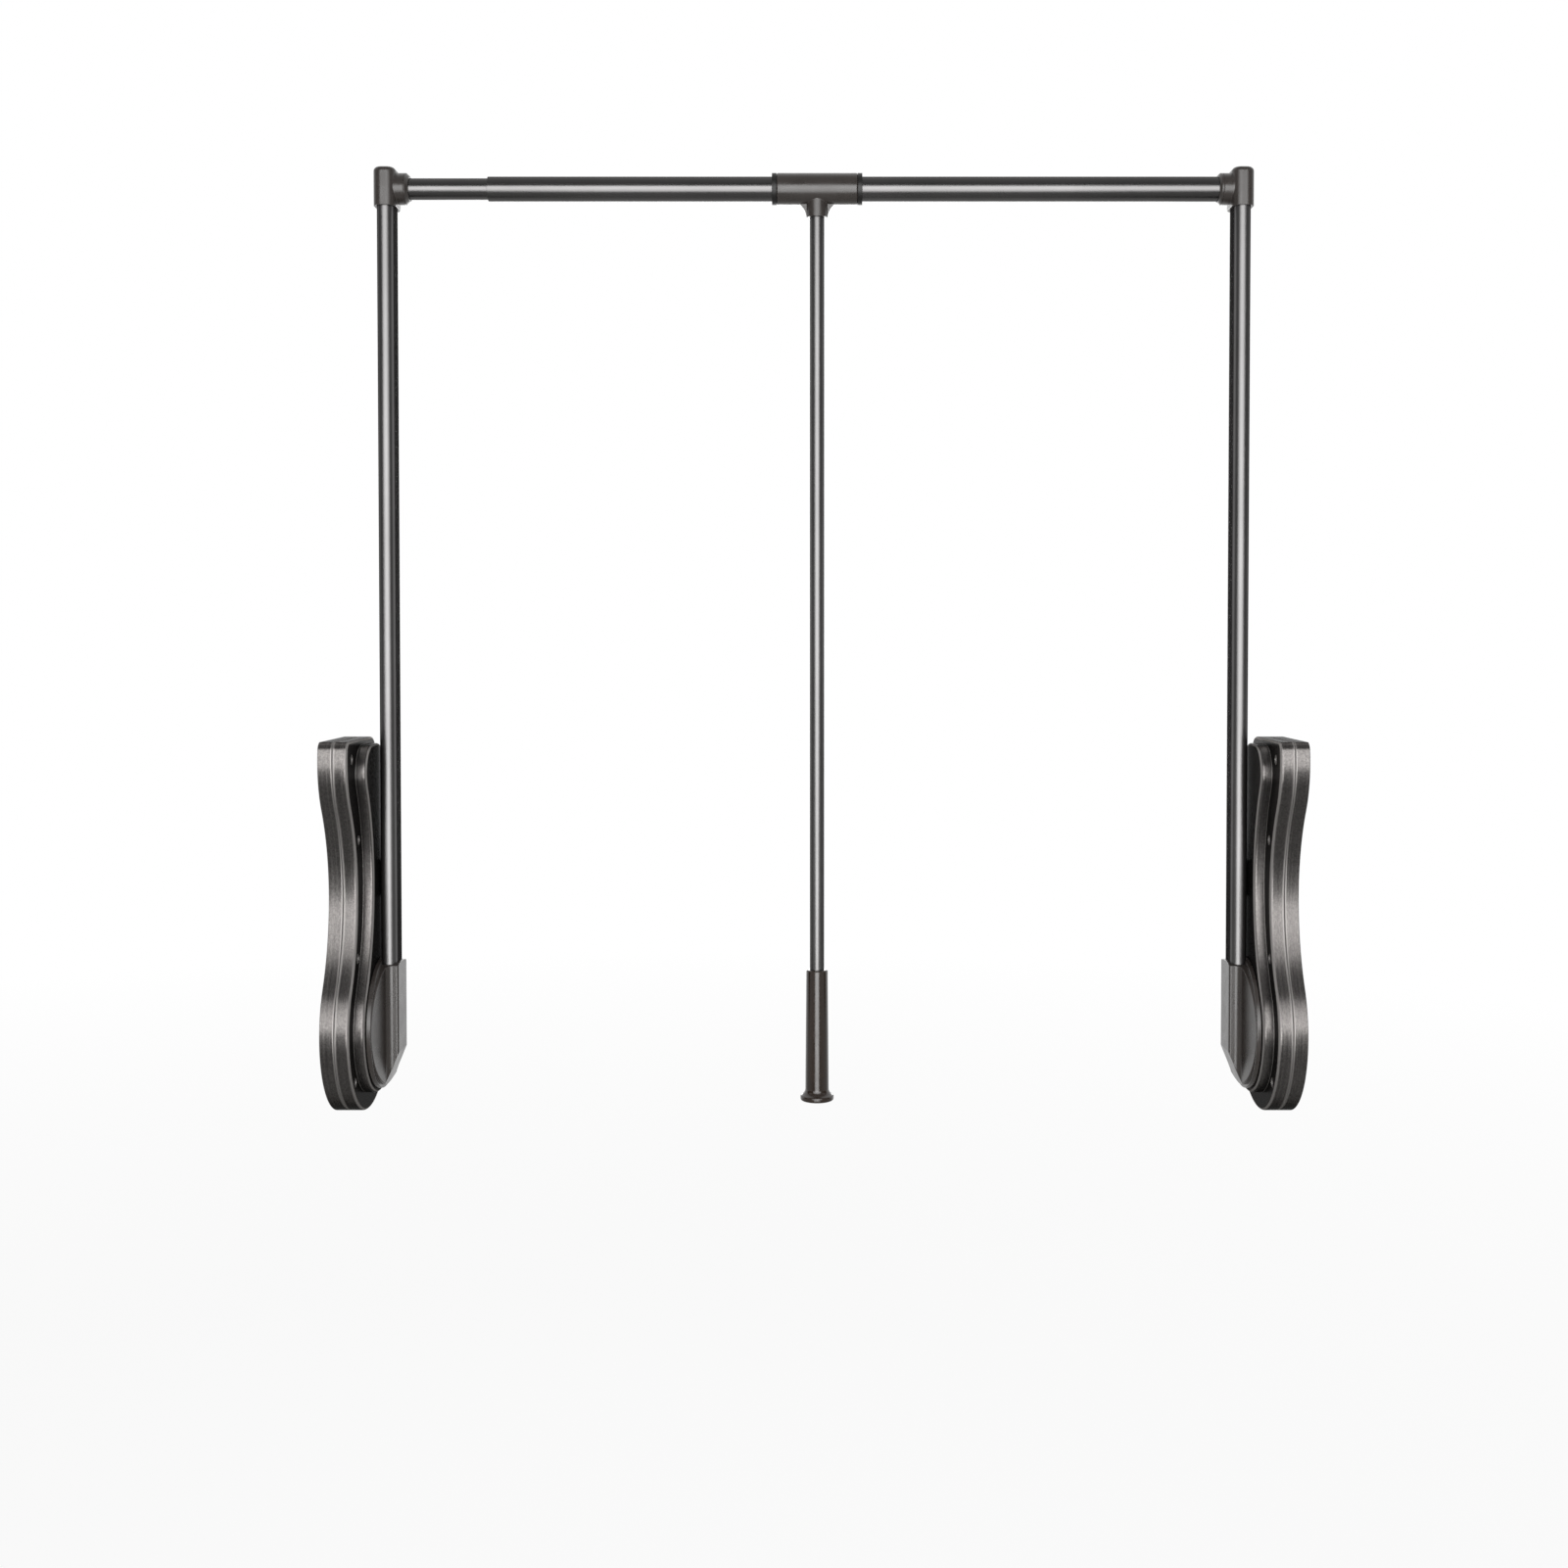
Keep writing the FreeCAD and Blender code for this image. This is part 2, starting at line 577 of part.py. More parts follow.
def make_front_cover():
    body = new_body("left_front_cover")
    screws = case_screw_places()
    base = pad(body, new_sketch(body, "YZ_Plane", dim.seam_level, [case_outline()]),
               dim.case_thickness - dim.seam_level)
    base = soften("Chamfer", body, base, at_level(0, dim.seam_level), dim.seam_bevel)
    soften("Fillet", body, base, at_level(0, dim.case_thickness), dim.case_round)
    plateau = new_sketch(body, "YZ_Plane", dim.case_thickness, [plateau_outline()])
    raised = pad(body, plateau, dim.plateau_height)
    soften("Fillet", body, raised, at_level(0, plateau_level), dim.plateau_round)
    hollow = new_sketch(body, "YZ_Plane", dim.seam_level, [case_outline(dim.wall)])
    pocket(body, hollow, dim.case_thickness - dim.wall - dim.seam_level, reverse=True)
    hollow = new_sketch(body, "YZ_Plane", dim.seam_level, [plateau_outline(dim.wall)])
    pocket(body, hollow, plateau_level - dim.wall - dim.seam_level, reverse=True)
    bosses = [(y, z, dim.cover_boss_radius) for y, z in screws]
    pad(body, new_sketch(body, "YZ_Plane", dim.seam_level, circles=bosses),
        dim.case_thickness - dim.wall / 2 - dim.seam_level)
    pivot_boss = [(0, 0, dim.front_boss_radius)]
    pad(body, new_sketch(body, "YZ_Plane", dim.front_boss_level, circles=pivot_boss),
        plateau_level - dim.wall / 2 - dim.front_boss_level)
    recesses = [(y, z, dim.screw_recess_radius) for y, z in screws]
    pocket(body, new_sketch(body, "YZ_Plane", dim.case_thickness, circles=recesses), dim.screw_recess_depth)
    holes = [(y, z, dim.screw_hole_radius) for y, z in screws]
    pocket(body, new_sketch(body, "YZ_Plane", dim.case_thickness, circles=holes),
           dim.case_thickness - dim.seam_level)
    bush_bore = [(0, 0, dim.front_bush_radius + dim.seat_fit)]
    pocket(body, new_sketch(body, "YZ_Plane", plateau_level, circles=bush_bore),
           plateau_level - dim.front_boss_level)
    peg_y, peg_z = stop_peg_place()
    peg_hole = [(peg_y, peg_z, dim.stop_peg_radius + dim.seat_fit)]
    pocket(body, new_sketch(body, "YZ_Plane", plateau_level, circles=peg_hole), dim.wall)
    return body


def make_case_screw():
    """One screw on the X axis, head in the cover's recess and point in the back shell's boss."""
    body = new_body("case_screw_pattern")
    seat = dim.case_thickness - dim.screw_recess_depth
    rim = seat + dim.screw_head_rim
    crown = rim + dim.screw_head_bevel
    point = dim.floor_thickness + dim.screw_point_gap
    outline = Outline(point, 0)
    outline.line(crown, 0)
    outline.line(crown, dim.screw_head_radius - dim.screw_head_bevel)
    outline.line(rim, dim.screw_head_radius)
    outline.line(seat, dim.screw_head_radius)
    outline.line(seat, dim.screw_shank_radius)
    outline.line(point, dim.screw_shank_radius)
    revolve(body, outline.close(), "XY_Plane", "H_Axis")
    return body


def stop_peg_place():
    return (dim.arm_depth / 2 + dim.moving_gap + dim.stop_depth / 2, dim.stop_foot + dim.stop_length / 2)


def make_arm_stop():
    """Block with sloping ends behind the arm, on a peg in the cover."""
    body = new_body("left_arm_stop", y=dim.arm_depth / 2 + dim.moving_gap + dim.stop_depth / 2)
    face = plateau_level + dim.stop_height
    head = dim.stop_foot + dim.stop_length
    outline = Outline(plateau_level, dim.stop_foot)
    outline.line(face, dim.stop_foot + dim.stop_slope)
    outline.line(face, head - dim.stop_slope)
    outline.line(plateau_level, head)
    pad(body, new_sketch(body, "XZ_Plane", 0, [outline.close()]), dim.stop_depth, both_ways=True)
    peg = [(0, dim.stop_foot + dim.stop_length / 2, dim.stop_peg_radius)]
    pad(body, new_sketch(body, "YZ_Plane", plateau_level - dim.wall, circles=peg), dim.wall)
    return body


def make_bushes():
    rear = new_body("left_rear_bush")
    rings = [(0, 0, dim.rear_bush_radius), (0, 0, dim.rear_journal_radius + dim.running_fit)]
    pad(rear, new_sketch(rear, "YZ_Plane", dim.floor_thickness, circles=rings), dim.rear_bush_length)
    front = new_body("left_front_bush")
    bore = dim.front_journal_radius + dim.running_fit
    outline = Outline(front_bush_end, bore)
    outline.line(plateau_level, bore)
    outline.line(plateau_level, dim.front_bush_radius)
    outline.line(dim.front_boss_level, dim.front_bush_radius)
    outline.line(dim.front_boss_level, dim.front_bush_collar)
    outline.line(front_bush_end, dim.front_bush_collar)
    revolve(front, outline.close(), "XY_Plane", "H_Axis")
    return rear, front


def make_pivot_axle():
    body = new_body("left_pivot_axle")
    seat_start = rear_bush_end + dim.moving_gap
    seat_end = front_bush_end - dim.moving_gap
    flange_end = axle_flange_level + dim.axle_flange_length
    outline = Outline(dim.floor_thickness + dim.moving_gap, 0)
    outline.line(flange_end, 0)
    outline.line(flange_end, dim.axle_flange_radius)
    outline.line(axle_flange_level, dim.axle_flange_radius)
    outline.line(axle_flange_level, dim.front_journal_radius)
    outline.line(seat_end, dim.front_journal_radius)
    outline.line(seat_end, dim.gear_seat_radius)
    outline.line(seat_start, dim.gear_seat_radius)
    outline.line(seat_start, dim.rear_journal_radius)
    outline.line(dim.floor_thickness + dim.moving_gap, dim.rear_journal_radius)
    revolve(body, outline.close(), "XY_Plane", "H_Axis")
    flat = box_outline(-dim.gear_seat_radius, dim.gear_seat_flat,
                       dim.gear_seat_radius, dim.gear_seat_radius + dim.overshoot)
    pocket(body, new_sketch(body, "YZ_Plane", seat_end, [flat]), seat_end - seat_start)
    heads = [(y, z, dim.hub_screw_radius + dim.seat_fit) for y, z in hub_screw_places()]
    pocket(body, new_sketch(body, "YZ_Plane", flange_end, circles=heads), dim.axle_flange_length)
    return body


def make_axle_clip():
    """Snap ring beside the pinion, open at the bottom."""
    body = new_body("left_axle_clip")
    level = dim.gear_level - dim.clip_length
    rings = [(0, 0, dim.clip_radius), (0, 0, dim.gear_seat_radius + dim.seat_fit)]
    pad(body, new_sketch(body, "YZ_Plane", level, circles=rings), dim.clip_length)
    mouth = box_outline(-dim.clip_mouth / 2, -dim.clip_radius - dim.overshoot, dim.clip_mouth / 2, 0)
    pocket(body, new_sketch(body, "YZ_Plane", dim.gear_level, [mouth]), dim.clip_length)
    return body


def make_drive_gear():
    """Pinion with involute-like flanks, one tooth pointing back at rest."""
    body = new_body("left_drive_gear")
    root_radius = pitch_radius - dim.tooth_root * dim.gear_module
    base_radius = pitch_radius * cosine(dim.pressure_angle)
    tip_radius = pitch_radius + dim.gear_module
    base_half = dim.tooth_base_half * dim.gear_module
    tip_half = dim.tooth_tip_half * dim.gear_module
    flank = pitch_radius * sine(dim.pressure_angle)
    foot = root_radius - dim.gear_module / 2
    pad(body, new_sketch(body, "YZ_Plane", dim.gear_level, circles=[(0, 0, root_radius)]), dim.gear_width)
    outline = Outline(foot, -base_half)
    outline.line(base_radius, -base_half)
    outline.arc(tip_radius, -tip_half, flank)
    outline.line(tip_radius, tip_half)
    outline.arc(base_radius, base_half, flank)
    outline.line(foot, base_half)
    tooth_sketch = new_sketch(body, "YZ_Plane", dim.gear_level, [outline.close()])
    tooth = pad(body, tooth_sketch, dim.gear_width)
    teeth = body.newObject("PartDesign::PolarPattern", "Teeth")
    teeth.Originals = [tooth]
    teeth.Axis = (tooth_sketch, ["N_Axis"])
    teeth.Angle = 360
    teeth.setExpression("Occurrences", dim.gear_teeth.text)
    body.Tip = teeth
    boss_end = front_bush_end - dim.moving_gap
    boss = [(0, 0, dim.gear_boss_radius)]
    pad(body, new_sketch(body, "YZ_Plane", gear_end, circles=boss), boss_end - gear_end)
    bore = dim.gear_seat_radius + dim.seat_fit
    flat = dim.gear_seat_flat + dim.seat_fit
    flat_half = side_of_triangle(bore, flat)
    keyed = Outline(flat_half, flat)
    keyed.line(-flat_half, flat)
    keyed.arc(0, -bore, bore)
    pocket(body, new_sketch(body, "YZ_Plane", boss_end, [keyed.close(bore)]), boss_end - dim.gear_level)
    return body


def make_rack():
    """Toothed bar behind the pinion, with a cross head for the spring and the damper."""
    body = new_body("left_rack")
    tip_line = pitch_radius - dim.gear_module
    root_line = pitch_radius + dim.tooth_root * dim.gear_module
    back = pitch_radius + dim.rack_back
    head_top = dim.cross_head_bottom + dim.cross_head_height
    bar = box_outline(tip_line, -rack_foot, back, dim.cross_head_bottom)
    pad(body, new_sketch(body, "YZ_Plane", dim.gear_level, [bar]), dim.gear_width)
    flank = sine(dim.pressure_angle) / cosine(dim.pressure_angle)
    pitch_half = tooth_pitch / 4 + dim.rack_backlash
    mouth_half = pitch_half + flank * dim.gear_module
    root_half = pitch_half - flank * dim.tooth_root * dim.gear_module
    lowest = tooth_pitch * (dim.rack_spaces_above + 1 - dim.rack_spaces)
    space = Outline(tip_line, lowest - mouth_half)
    space.line(root_line, lowest - root_half)
    space.line(root_line, lowest + root_half)
    space.line(tip_line, lowest + mouth_half)
    space_sketch = new_sketch(body, "YZ_Plane", gear_end, [space.close()])
    first_space = pocket(body, space_sketch, dim.gear_width)
    spaces = body.newObject("PartDesign::LinearPattern", "Spaces")
    spaces.Originals = [first_space]
    spaces.Direction = (space_sketch, ["V_Axis"])
    spaces.setExpression("Length", (tooth_pitch * (dim.rack_spaces - 1)).text)
    spaces.setExpression("Occurrences", dim.rack_spaces.text)
    body.Tip = spaces
    head = box_outline(-dim.cross_head_front, dim.cross_head_bottom, back, head_top)
    head_level = mechanism_level - dim.cross_head_thickness / 2
    pad(body, new_sketch(body, "YZ_Plane", head_level, [head]), dim.cross_head_thickness)
    return body


def make_return_spring():
    """Compression spring between the cross head and the anchor block, as the sleeve that its coils fill."""
    head_top = dim.cross_head_bottom + dim.cross_head_height
    foot = head_top + dim.seat_fit
    body = new_body("left_return_spring", mechanism_level, dim.spring_axis)
    rings = [(0, 0, dim.spring_radius), (0, 0, dim.spring_radius - dim.spring_wire)]
    pad(body, new_sketch(body, "XY_Plane", foot, circles=rings), dim.anchor_bottom - dim.seat_fit - foot)
    return body


def make_spring_guide():
    body = new_body("left_spring_guide", mechanism_level, dim.spring_axis)
    top = dim.anchor_bottom + dim.anchor_height
    outline = Outline(0, dim.guide_foot)
    outline.line(dim.guide_radius / 2, dim.guide_foot)
    outline.line(dim.guide_radius, dim.guide_foot + dim.guide_radius)
    outline.line(dim.guide_radius, top)
    outline.line(0, top)
    revolve(body, outline.close(), "XZ_Plane", "V_Axis")
    return body


def make_spring_anchor():
    body = new_body("left_spring_anchor")
    top = dim.anchor_bottom + dim.anchor_height
    block = box_outline(-dim.anchor_front, dim.anchor_bottom, dim.anchor_rear, top)
    pad(body, new_sketch(body, "YZ_Plane", dim.floor_thickness, [block]),
        dim.anchor_level - dim.floor_thickness)
    hole = [(mechanism_level, dim.spring_axis, dim.guide_radius + dim.seat_fit)]
    pocket(body, new_sketch(body, "XY_Plane", top, circles=hole), dim.anchor_height)
    return body


def make_damper():
    cylinder = new_body("left_damper_body", mechanism_level, -dim.damper_axis)
    rod_hole = dim.damper_rod_radius + dim.running_fit
    low_wall = dim.damper_foot + dim.damper_end_wall
    high_wall = dim.anchor_bottom - dim.damper_end_wall
    outline = Outline(rod_hole, dim.damper_foot)
    outline.line(dim.damper_radius, dim.damper_foot)
    outline.line(dim.damper_radius, dim.anchor_bottom)
    outline.line(0, dim.anchor_bottom)
    outline.line(0, high_wall)
    outline.line(dim.damper_bore, high_wall)
    outline.line(dim.damper_bore, low_wall)
    outline.line(rod_hole, low_wall)
    revolve(cylinder, outline.close(), "XZ_Plane", "V_Axis")
    rod = new_body("left_damper_rod", mechanism_level, -dim.damper_axis)
    head_top = dim.cross_head_bottom + dim.cross_head_height
    piston = dim.damper_bore - dim.running_fit
    piston_top = dim.piston_level + dim.piston_length
    outline = Outline(0, head_top)
    outline.line(dim.damper_rod_radius, head_top)
    outline.line(dim.damper_rod_radius, dim.piston_level)
    outline.line(piston, dim.piston_level)
    outline.line(piston, piston_top)
    outline.line(0, piston_top)
    revolve(rod, outline.close(), "XZ_Plane", "V_Axis")
    return cylinder, rod


def make_hub():
    """Round cap: a rim, a drafted dome and a ridge over the arm that slopes away below the pivot."""
    body = new_body("left_hub")
    rim_level = hub_level + dim.hub_rim
    shoulder_level = rim_level + dim.hub_shoulder
    ridge_half = dim.arm_depth / 2 + dim.hub_cover
    crest_half = ridge_half - dim.hub_ridge_round
    crest_start = hub_top - dim.hub_ridge_round
    disc = pad(body, new_sketch(body, "YZ_Plane", hub_level, circles=[(0, 0, dim.hub_radius)]), dim.hub_rim)
    soften("Fillet", body, disc, at_level(0, rim_level), dim.hub_rim_round)
    outline = Outline(rim_level, -dim.hub_dome_radius)
    outline.line(shoulder_level, -ridge_half)
    outline.line(crest_start, -ridge_half)
    outline.arc(hub_top, -crest_half, dim.hub_ridge_round)
    outline.line(hub_top, crest_half)
    outline.arc(crest_start, ridge_half, dim.hub_ridge_round)
    outline.line(shoulder_level, ridge_half)
    outline.line(rim_level, dim.hub_dome_radius)
    bar = pad(body, new_sketch(body, "XY_Plane", 0, [outline.close()]), 2 * dim.hub_radius, both_ways=True)
    ridge_side = ridge_half.number
    at_shoulder = at_level(0, shoulder_level)
    ridge_foot = lambda point: at_shoulder(point) and abs(abs(point.y) - ridge_side) < 0.001
    soften("Fillet", body, bar, ridge_foot, dim.hub_hollow)
    beyond = dim.hub_radius * 2
    outside = box_outline(-beyond, -beyond, beyond, beyond)
    trim = new_sketch(body, "YZ_Plane", hub_top, [outside], [(0, 0, dim.hub_dome_radius)])
    pocket(body, trim, hub_top - rim_level)
    slope = Outline(hub_top, -dim.hub_slope_start)
    slope.line(rim_level + dim.hub_slope_rise, -dim.hub_radius)
    slope.line(hub_top, -dim.hub_radius)
    pocket(body, new_sketch(body, "XZ_Plane", 0, [slope.close()]), 4 * dim.hub_radius, both_ways=True)
    socket = rounded_outline(arm_middle, dim.arm_width + 2 * dim.seat_fit, dim.arm_depth + 2 * dim.seat_fit,
                             dim.arm_corner)
    pocket(body, new_sketch(body, "XY_Plane", dim.arm_foot, [socket]), dim.hub_radius, reverse=True)
    recess_depth = axle_flange_level + dim.axle_flange_length - hub_level
    recess = [(0, 0, dim.axle_flange_radius + dim.seat_fit)]
    pocket(body, new_sketch(body, "YZ_Plane", hub_level, circles=recess), recess_depth, reverse=True)
    threads = [(y, z, dim.hub_screw_radius + dim.seat_fit) for y, z in hub_screw_places()]
    pocket(body, new_sketch(body, "YZ_Plane", hub_level, circles=threads),
           axle_flange_level + dim.hub_screw_length - hub_level, reverse=True)
    return body


def hub_screw_places():
    across = dim.hub_screw_circle / root(as_size(2))
    return [(across * y, across * z) for y in (-1, 1) for z in (-1, 1)]


def make_hub_screw():
    body = new_body("hub_screw_pattern")
    outline = Outline(axle_flange_level, 0)
    outline.line(axle_flange_level + dim.hub_screw_length, 0)
    outline.line(axle_flange_level + dim.hub_screw_length, dim.hub_screw_radius)
    outline.line(axle_flange_level, dim.hub_screw_radius)
    revolve(body, outline.close(), "XY_Plane", "H_Axis")
    return body


def make_arm_tube():
    body = new_body("left_arm_tube")
    top = dim.rail_height + dim.connector_rise - dim.connector_roof
    outside = rounded_outline(arm_middle, dim.arm_width, dim.arm_depth, dim.arm_corner)
    inside = rounded_outline(arm_middle, dim.arm_width - 2 * dim.arm_wall, dim.arm_depth - 2 * dim.arm_wall,
                             dim.arm_corner - dim.arm_wall)
    pad(body, new_sketch(body, "XY_Plane", dim.arm_foot, [outside, inside]), top - dim.arm_foot)
    return body


def make_corner_connector(label, tube_radius):
    """Block on the arm's end with the collar that holds one tube of the rail, as on the left side."""
    body = new_body(label)
    bottom = dim.rail_height - dim.connector_rise
    top = dim.rail_height + dim.connector_rise
    plan = rounded_outline(arm_middle, connector_width, dim.connector_depth, dim.connector_corner)
    block = pad(body, new_sketch(body, "XY_Plane", bottom, [plan]), 2 * dim.connector_rise)
    soften("Fillet", body, block, at_level(2, top), dim.connector_round)
    collar = [(0, dim.rail_height, dim.collar_radius)]
    ring = pad(body, new_sketch(body, "YZ_Plane", arm_middle, circles=collar), collar_end - arm_middle)
    collar_bevel = (dim.collar_radius - tube_radius) * dim.collar_bevel_share
    soften("Chamfer", body, ring, at_level(0, collar_end), collar_bevel)
    socket = rounded_outline(arm_middle, dim.arm_width + 2 * dim.seat_fit, dim.arm_depth + 2 * dim.seat_fit,
                             dim.arm_corner)
    pocket(body, new_sketch(body, "XY_Plane", bottom, [socket]),
           2 * dim.connector_rise - dim.connector_roof, reverse=True)
    bore = [(0, dim.rail_height, tube_radius + dim.seat_fit)]
    pocket(body, new_sketch(body, "YZ_Plane", collar_end, circles=bore), dim.collar_length)
    groove = [(0, dim.rail_height, dim.collar_radius + dim.overshoot),
              (0, dim.rail_height, dim.collar_radius - dim.collar_groove)]
    pocket(body, new_sketch(body, "YZ_Plane", collar_end - dim.collar_lip, circles=groove),
           dim.collar_groove)
    return body


def make_rail_tube(label, radius, start, end):
    body = new_body(label, z=dim.rail_height)
    rings = [(0, 0, radius), (0, 0, radius - dim.rail_wall)]
    pad(body, new_sketch(body, "YZ_Plane", start, circles=rings), end - start)
    return body


def make_rail():
    outer_start = collar_end + dim.rail_exposed
    inner_end = outer_start + dim.rail_overlap
    make_rail_tube("rail_inner_tube", dim.inner_tube_radius, connector_face, inner_end)
    outer_end = dim.overall_width - connector_face
    make_rail_tube("rail_outer_tube", dim.outer_tube_radius, outer_start, outer_end)
    glide = new_body("rail_glide", inner_end, 0, dim.rail_height)
    collar = dim.outer_tube_radius - dim.rail_wall - dim.running_fit
    spigot = dim.inner_tube_radius - dim.rail_wall - dim.seat_fit
    outline = Outline(-dim.glide_spigot, 0)
    outline.line(dim.glide_collar, 0)
    outline.line(dim.glide_collar, collar)
    outline.line(0, collar)
    outline.line(0, spigot)
    outline.line(-dim.glide_spigot, spigot)
    revolve(glide, outline.close(), "XY_Plane", "H_Axis")


def make_tee_ring(label, side):
    """End ring of the tee: a collar in sight and a spigot inside the sleeve. Side is -1 or 1."""
    body = new_body(label, dim.overall_width / 2 + dim.tee_offset, 0, dim.rail_height)
    outer = dim.tee_length / 2 * side
    shoulder = outer - dim.tee_ring_length * side
    inner = shoulder - dim.tee_spigot_length * side
    bore = dim.outer_tube_radius + dim.running_fit
    spigot = dim.tee_bore - dim.running_fit
    outline = Outline(outer, bore)
    outline.line(outer, dim.tee_radius)
    outline.line(shoulder, dim.tee_radius)
    outline.line(shoulder, spigot)
    outline.line(inner, spigot)
    outline.line(inner, bore)
    revolve(body, outline.close(), "XY_Plane", "H_Axis")
    return body


def make_tee_sleeve():
    body = new_body("tee_sleeve", dim.overall_width / 2 + dim.tee_offset, 0, dim.rail_height)
    length = dim.tee_length - 2 * dim.tee_ring_length - 2 * dim.moving_gap
    outside = [(0, 0, dim.tee_radius)]
    tube = pad(body, new_sketch(body, "YZ_Plane", 0, circles=outside), length, both_ways=True)
    ends = (length / 2).number
    soften("Chamfer", body, tube, lambda point: abs(abs(point.x) - ends) < 0.001, dim.tee_end_bevel)
    boss = [(0, 0, dim.tee_boss_radius)]
    pad(body, new_sketch(body, "XY_Plane", -dim.tee_boss_drop, circles=boss), dim.tee_boss_drop)
    web = Outline(-dim.tee_boss_radius, -dim.tee_web_drop)
    web.line(dim.tee_boss_radius, -dim.tee_web_drop)
    web.arc(dim.tee_web_half, -dim.tee_bore, dim.tee_web_hollow, -1)
    web.line(-dim.tee_web_half, -dim.tee_bore)
    web.close(dim.tee_web_hollow, -1)
    pad(body, new_sketch(body, "XZ_Plane", 0, [web]), dim.tee_web_thickness, both_ways=True)
    bore = [(0, 0, dim.tee_bore)]
    pocket(body, new_sketch(body, "YZ_Plane", 0, circles=bore),
           length + dim.tee_ring_length, both_ways=True)
    socket = [(0, 0, dim.rod_radius + dim.seat_fit)]
    pocket(body, new_sketch(body, "XY_Plane", -dim.tee_boss_drop, circles=socket),
           dim.rod_socket, reverse=True)
    return body


def make_pull_rod():
    body = new_body("pull_rod", dim.overall_width / 2 + dim.tee_offset, 0, dim.rail_height)
    foot = dim.rod_reach + dim.rod_in_grip
    head = dim.tee_boss_drop - dim.rod_socket
    rings = [(0, 0, dim.rod_radius), (0, 0, dim.rod_radius - dim.rod_wall)]
    pad(body, new_sketch(body, "XY_Plane", -foot, circles=rings), foot - head)
    return body


def make_grip():
    """Turned grip that widens downwards, with a flared end and a round rim."""
    bottom = dim.rod_reach + dim.grip_length
    body = new_body("grip", dim.overall_width / 2 + dim.tee_offset, 0, dim.rail_height - bottom)
    bore = dim.rod_radius + dim.seat_fit
    bore_end = dim.grip_length - dim.rod_in_grip
    flare = dim.grip_flare_radius - dim.grip_low_radius
    fall = dim.grip_flare_height - dim.grip_rim_height
    flare_arc = (flare * flare + fall * fall) / (2 * flare)
    rim_low = dim.grip_rim_height - dim.grip_rim_side
    dome = (rim_low * rim_low + dim.grip_flare_radius * dim.grip_flare_radius) / (2 * rim_low)
    outline = Outline(0, 0)
    outline.arc(dim.grip_flare_radius, rim_low, dome)
    outline.line(dim.grip_flare_radius, dim.grip_rim_height)
    outline.arc(dim.grip_low_radius, dim.grip_flare_height, flare_arc, -1)
    outline.line(dim.grip_top_radius, dim.grip_length - dim.grip_top_bevel)
    outline.line(dim.grip_top_radius - dim.grip_top_bevel, dim.grip_length)
    outline.line(bore, dim.grip_length)
    outline.line(bore, bore_end)
    outline.line(0, bore_end)
    turned = revolve(body, outline.close(), "XZ_Plane", "V_Axis")
    rim = dim.grip_flare_radius.number
    rim_levels = (at_level(2, rim_low), at_level(2, dim.grip_rim_height))
    on_rim = lambda point: abs(math.hypot(point.x, point.y) - rim) < 0.001
    rim_edge = lambda point: on_rim(point) and any(level(point) for level in rim_levels)
    soften("Fillet", body, turned, rim_edge, dim.grip_rim_round)
    return body


def copies(label, pattern, places):
    """A group of equal screws as separate solids, one at each Y and Z."""
    group = doc.addObject("Part::Feature", label)
    group.Label = label
    moved = []
    for y, z in places:
        moved.append(pattern.Shape.translated(FreeCAD.Vector(0, y.number, z.number)))
    group.Shape = Part.makeCompound(moved)
    if pattern in pieces:
        pieces.remove(pattern)
    pieces.append(group)
    return group


def mirror(source, label):
    """The right-hand copy of a left-hand piece, about the middle of the width."""
    image = doc.addObject("Part::Mirroring", label)
    image.Label = label
    image.Source = source
    image.Normal = FreeCAD.Vector(1, 0, 0)
    image.setExpression("Base.x", (dim.overall_width / 2).text)
    pieces.append(image)
    return image


make_back_shell()
make_front_cover()
make_arm_stop()
make_bushes()
make_pivot_axle()
make_axle_clip()
make_drive_gear()
make_rack()
make_return_spring()
make_spring_guide()
make_spring_anchor()
make_damper()
make_hub()
make_arm_tube()
case_screw = make_case_screw()
hub_screw = make_hub_screw()
doc.recompute()
copies("left_case_screws", case_screw, case_screw_places())
copies("left_hub_screws", hub_screw, hub_screw_places())
for left_piece in list(pieces):
    mirror(left_piece, left_piece.Label.replace("left_", "right_"))
make_corner_connector("left_corner_connector", dim.inner_tube_radius)
right_connector = make_corner_connector("right_connector_pattern", dim.outer_tube_radius)
pieces.remove(right_connector)
mirror(right_connector, "right_corner_connector")
make_rail()
make_tee_ring("tee_ring_left", -1)
make_tee_ring("tee_ring_right", 1)
make_tee_sleeve()
make_pull_rod()
make_grip()
doc.recompute()

faults = [item.Label for item in doc.Objects if "Invalid" in item.State or "Error" in item.State]
for cut in doc.Objects:
    if cut.TypeId == "PartDesign::Pocket" and cut.Shape.Volume > cut.BaseFeature.Shape.Volume - 0.01:
        faults.append(cut.Label + " cuts nothing")
for piece in pieces:
    if piece.Shape.isNull() or not piece.Shape.isValid():
        faults.append(piece.Label + " has no valid shape")
if faults:
    raise SystemExit("faults: " + ", ".join(faults))

os.makedirs("parts", exist_ok=True)
for piece in pieces:
    piece.Shape.exportStep("parts/%s.step" % piece.Label)
print("%d pieces written" % len(pieces))
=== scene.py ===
import math

import bmesh
import bpy
from mathutils import Matrix, Vector


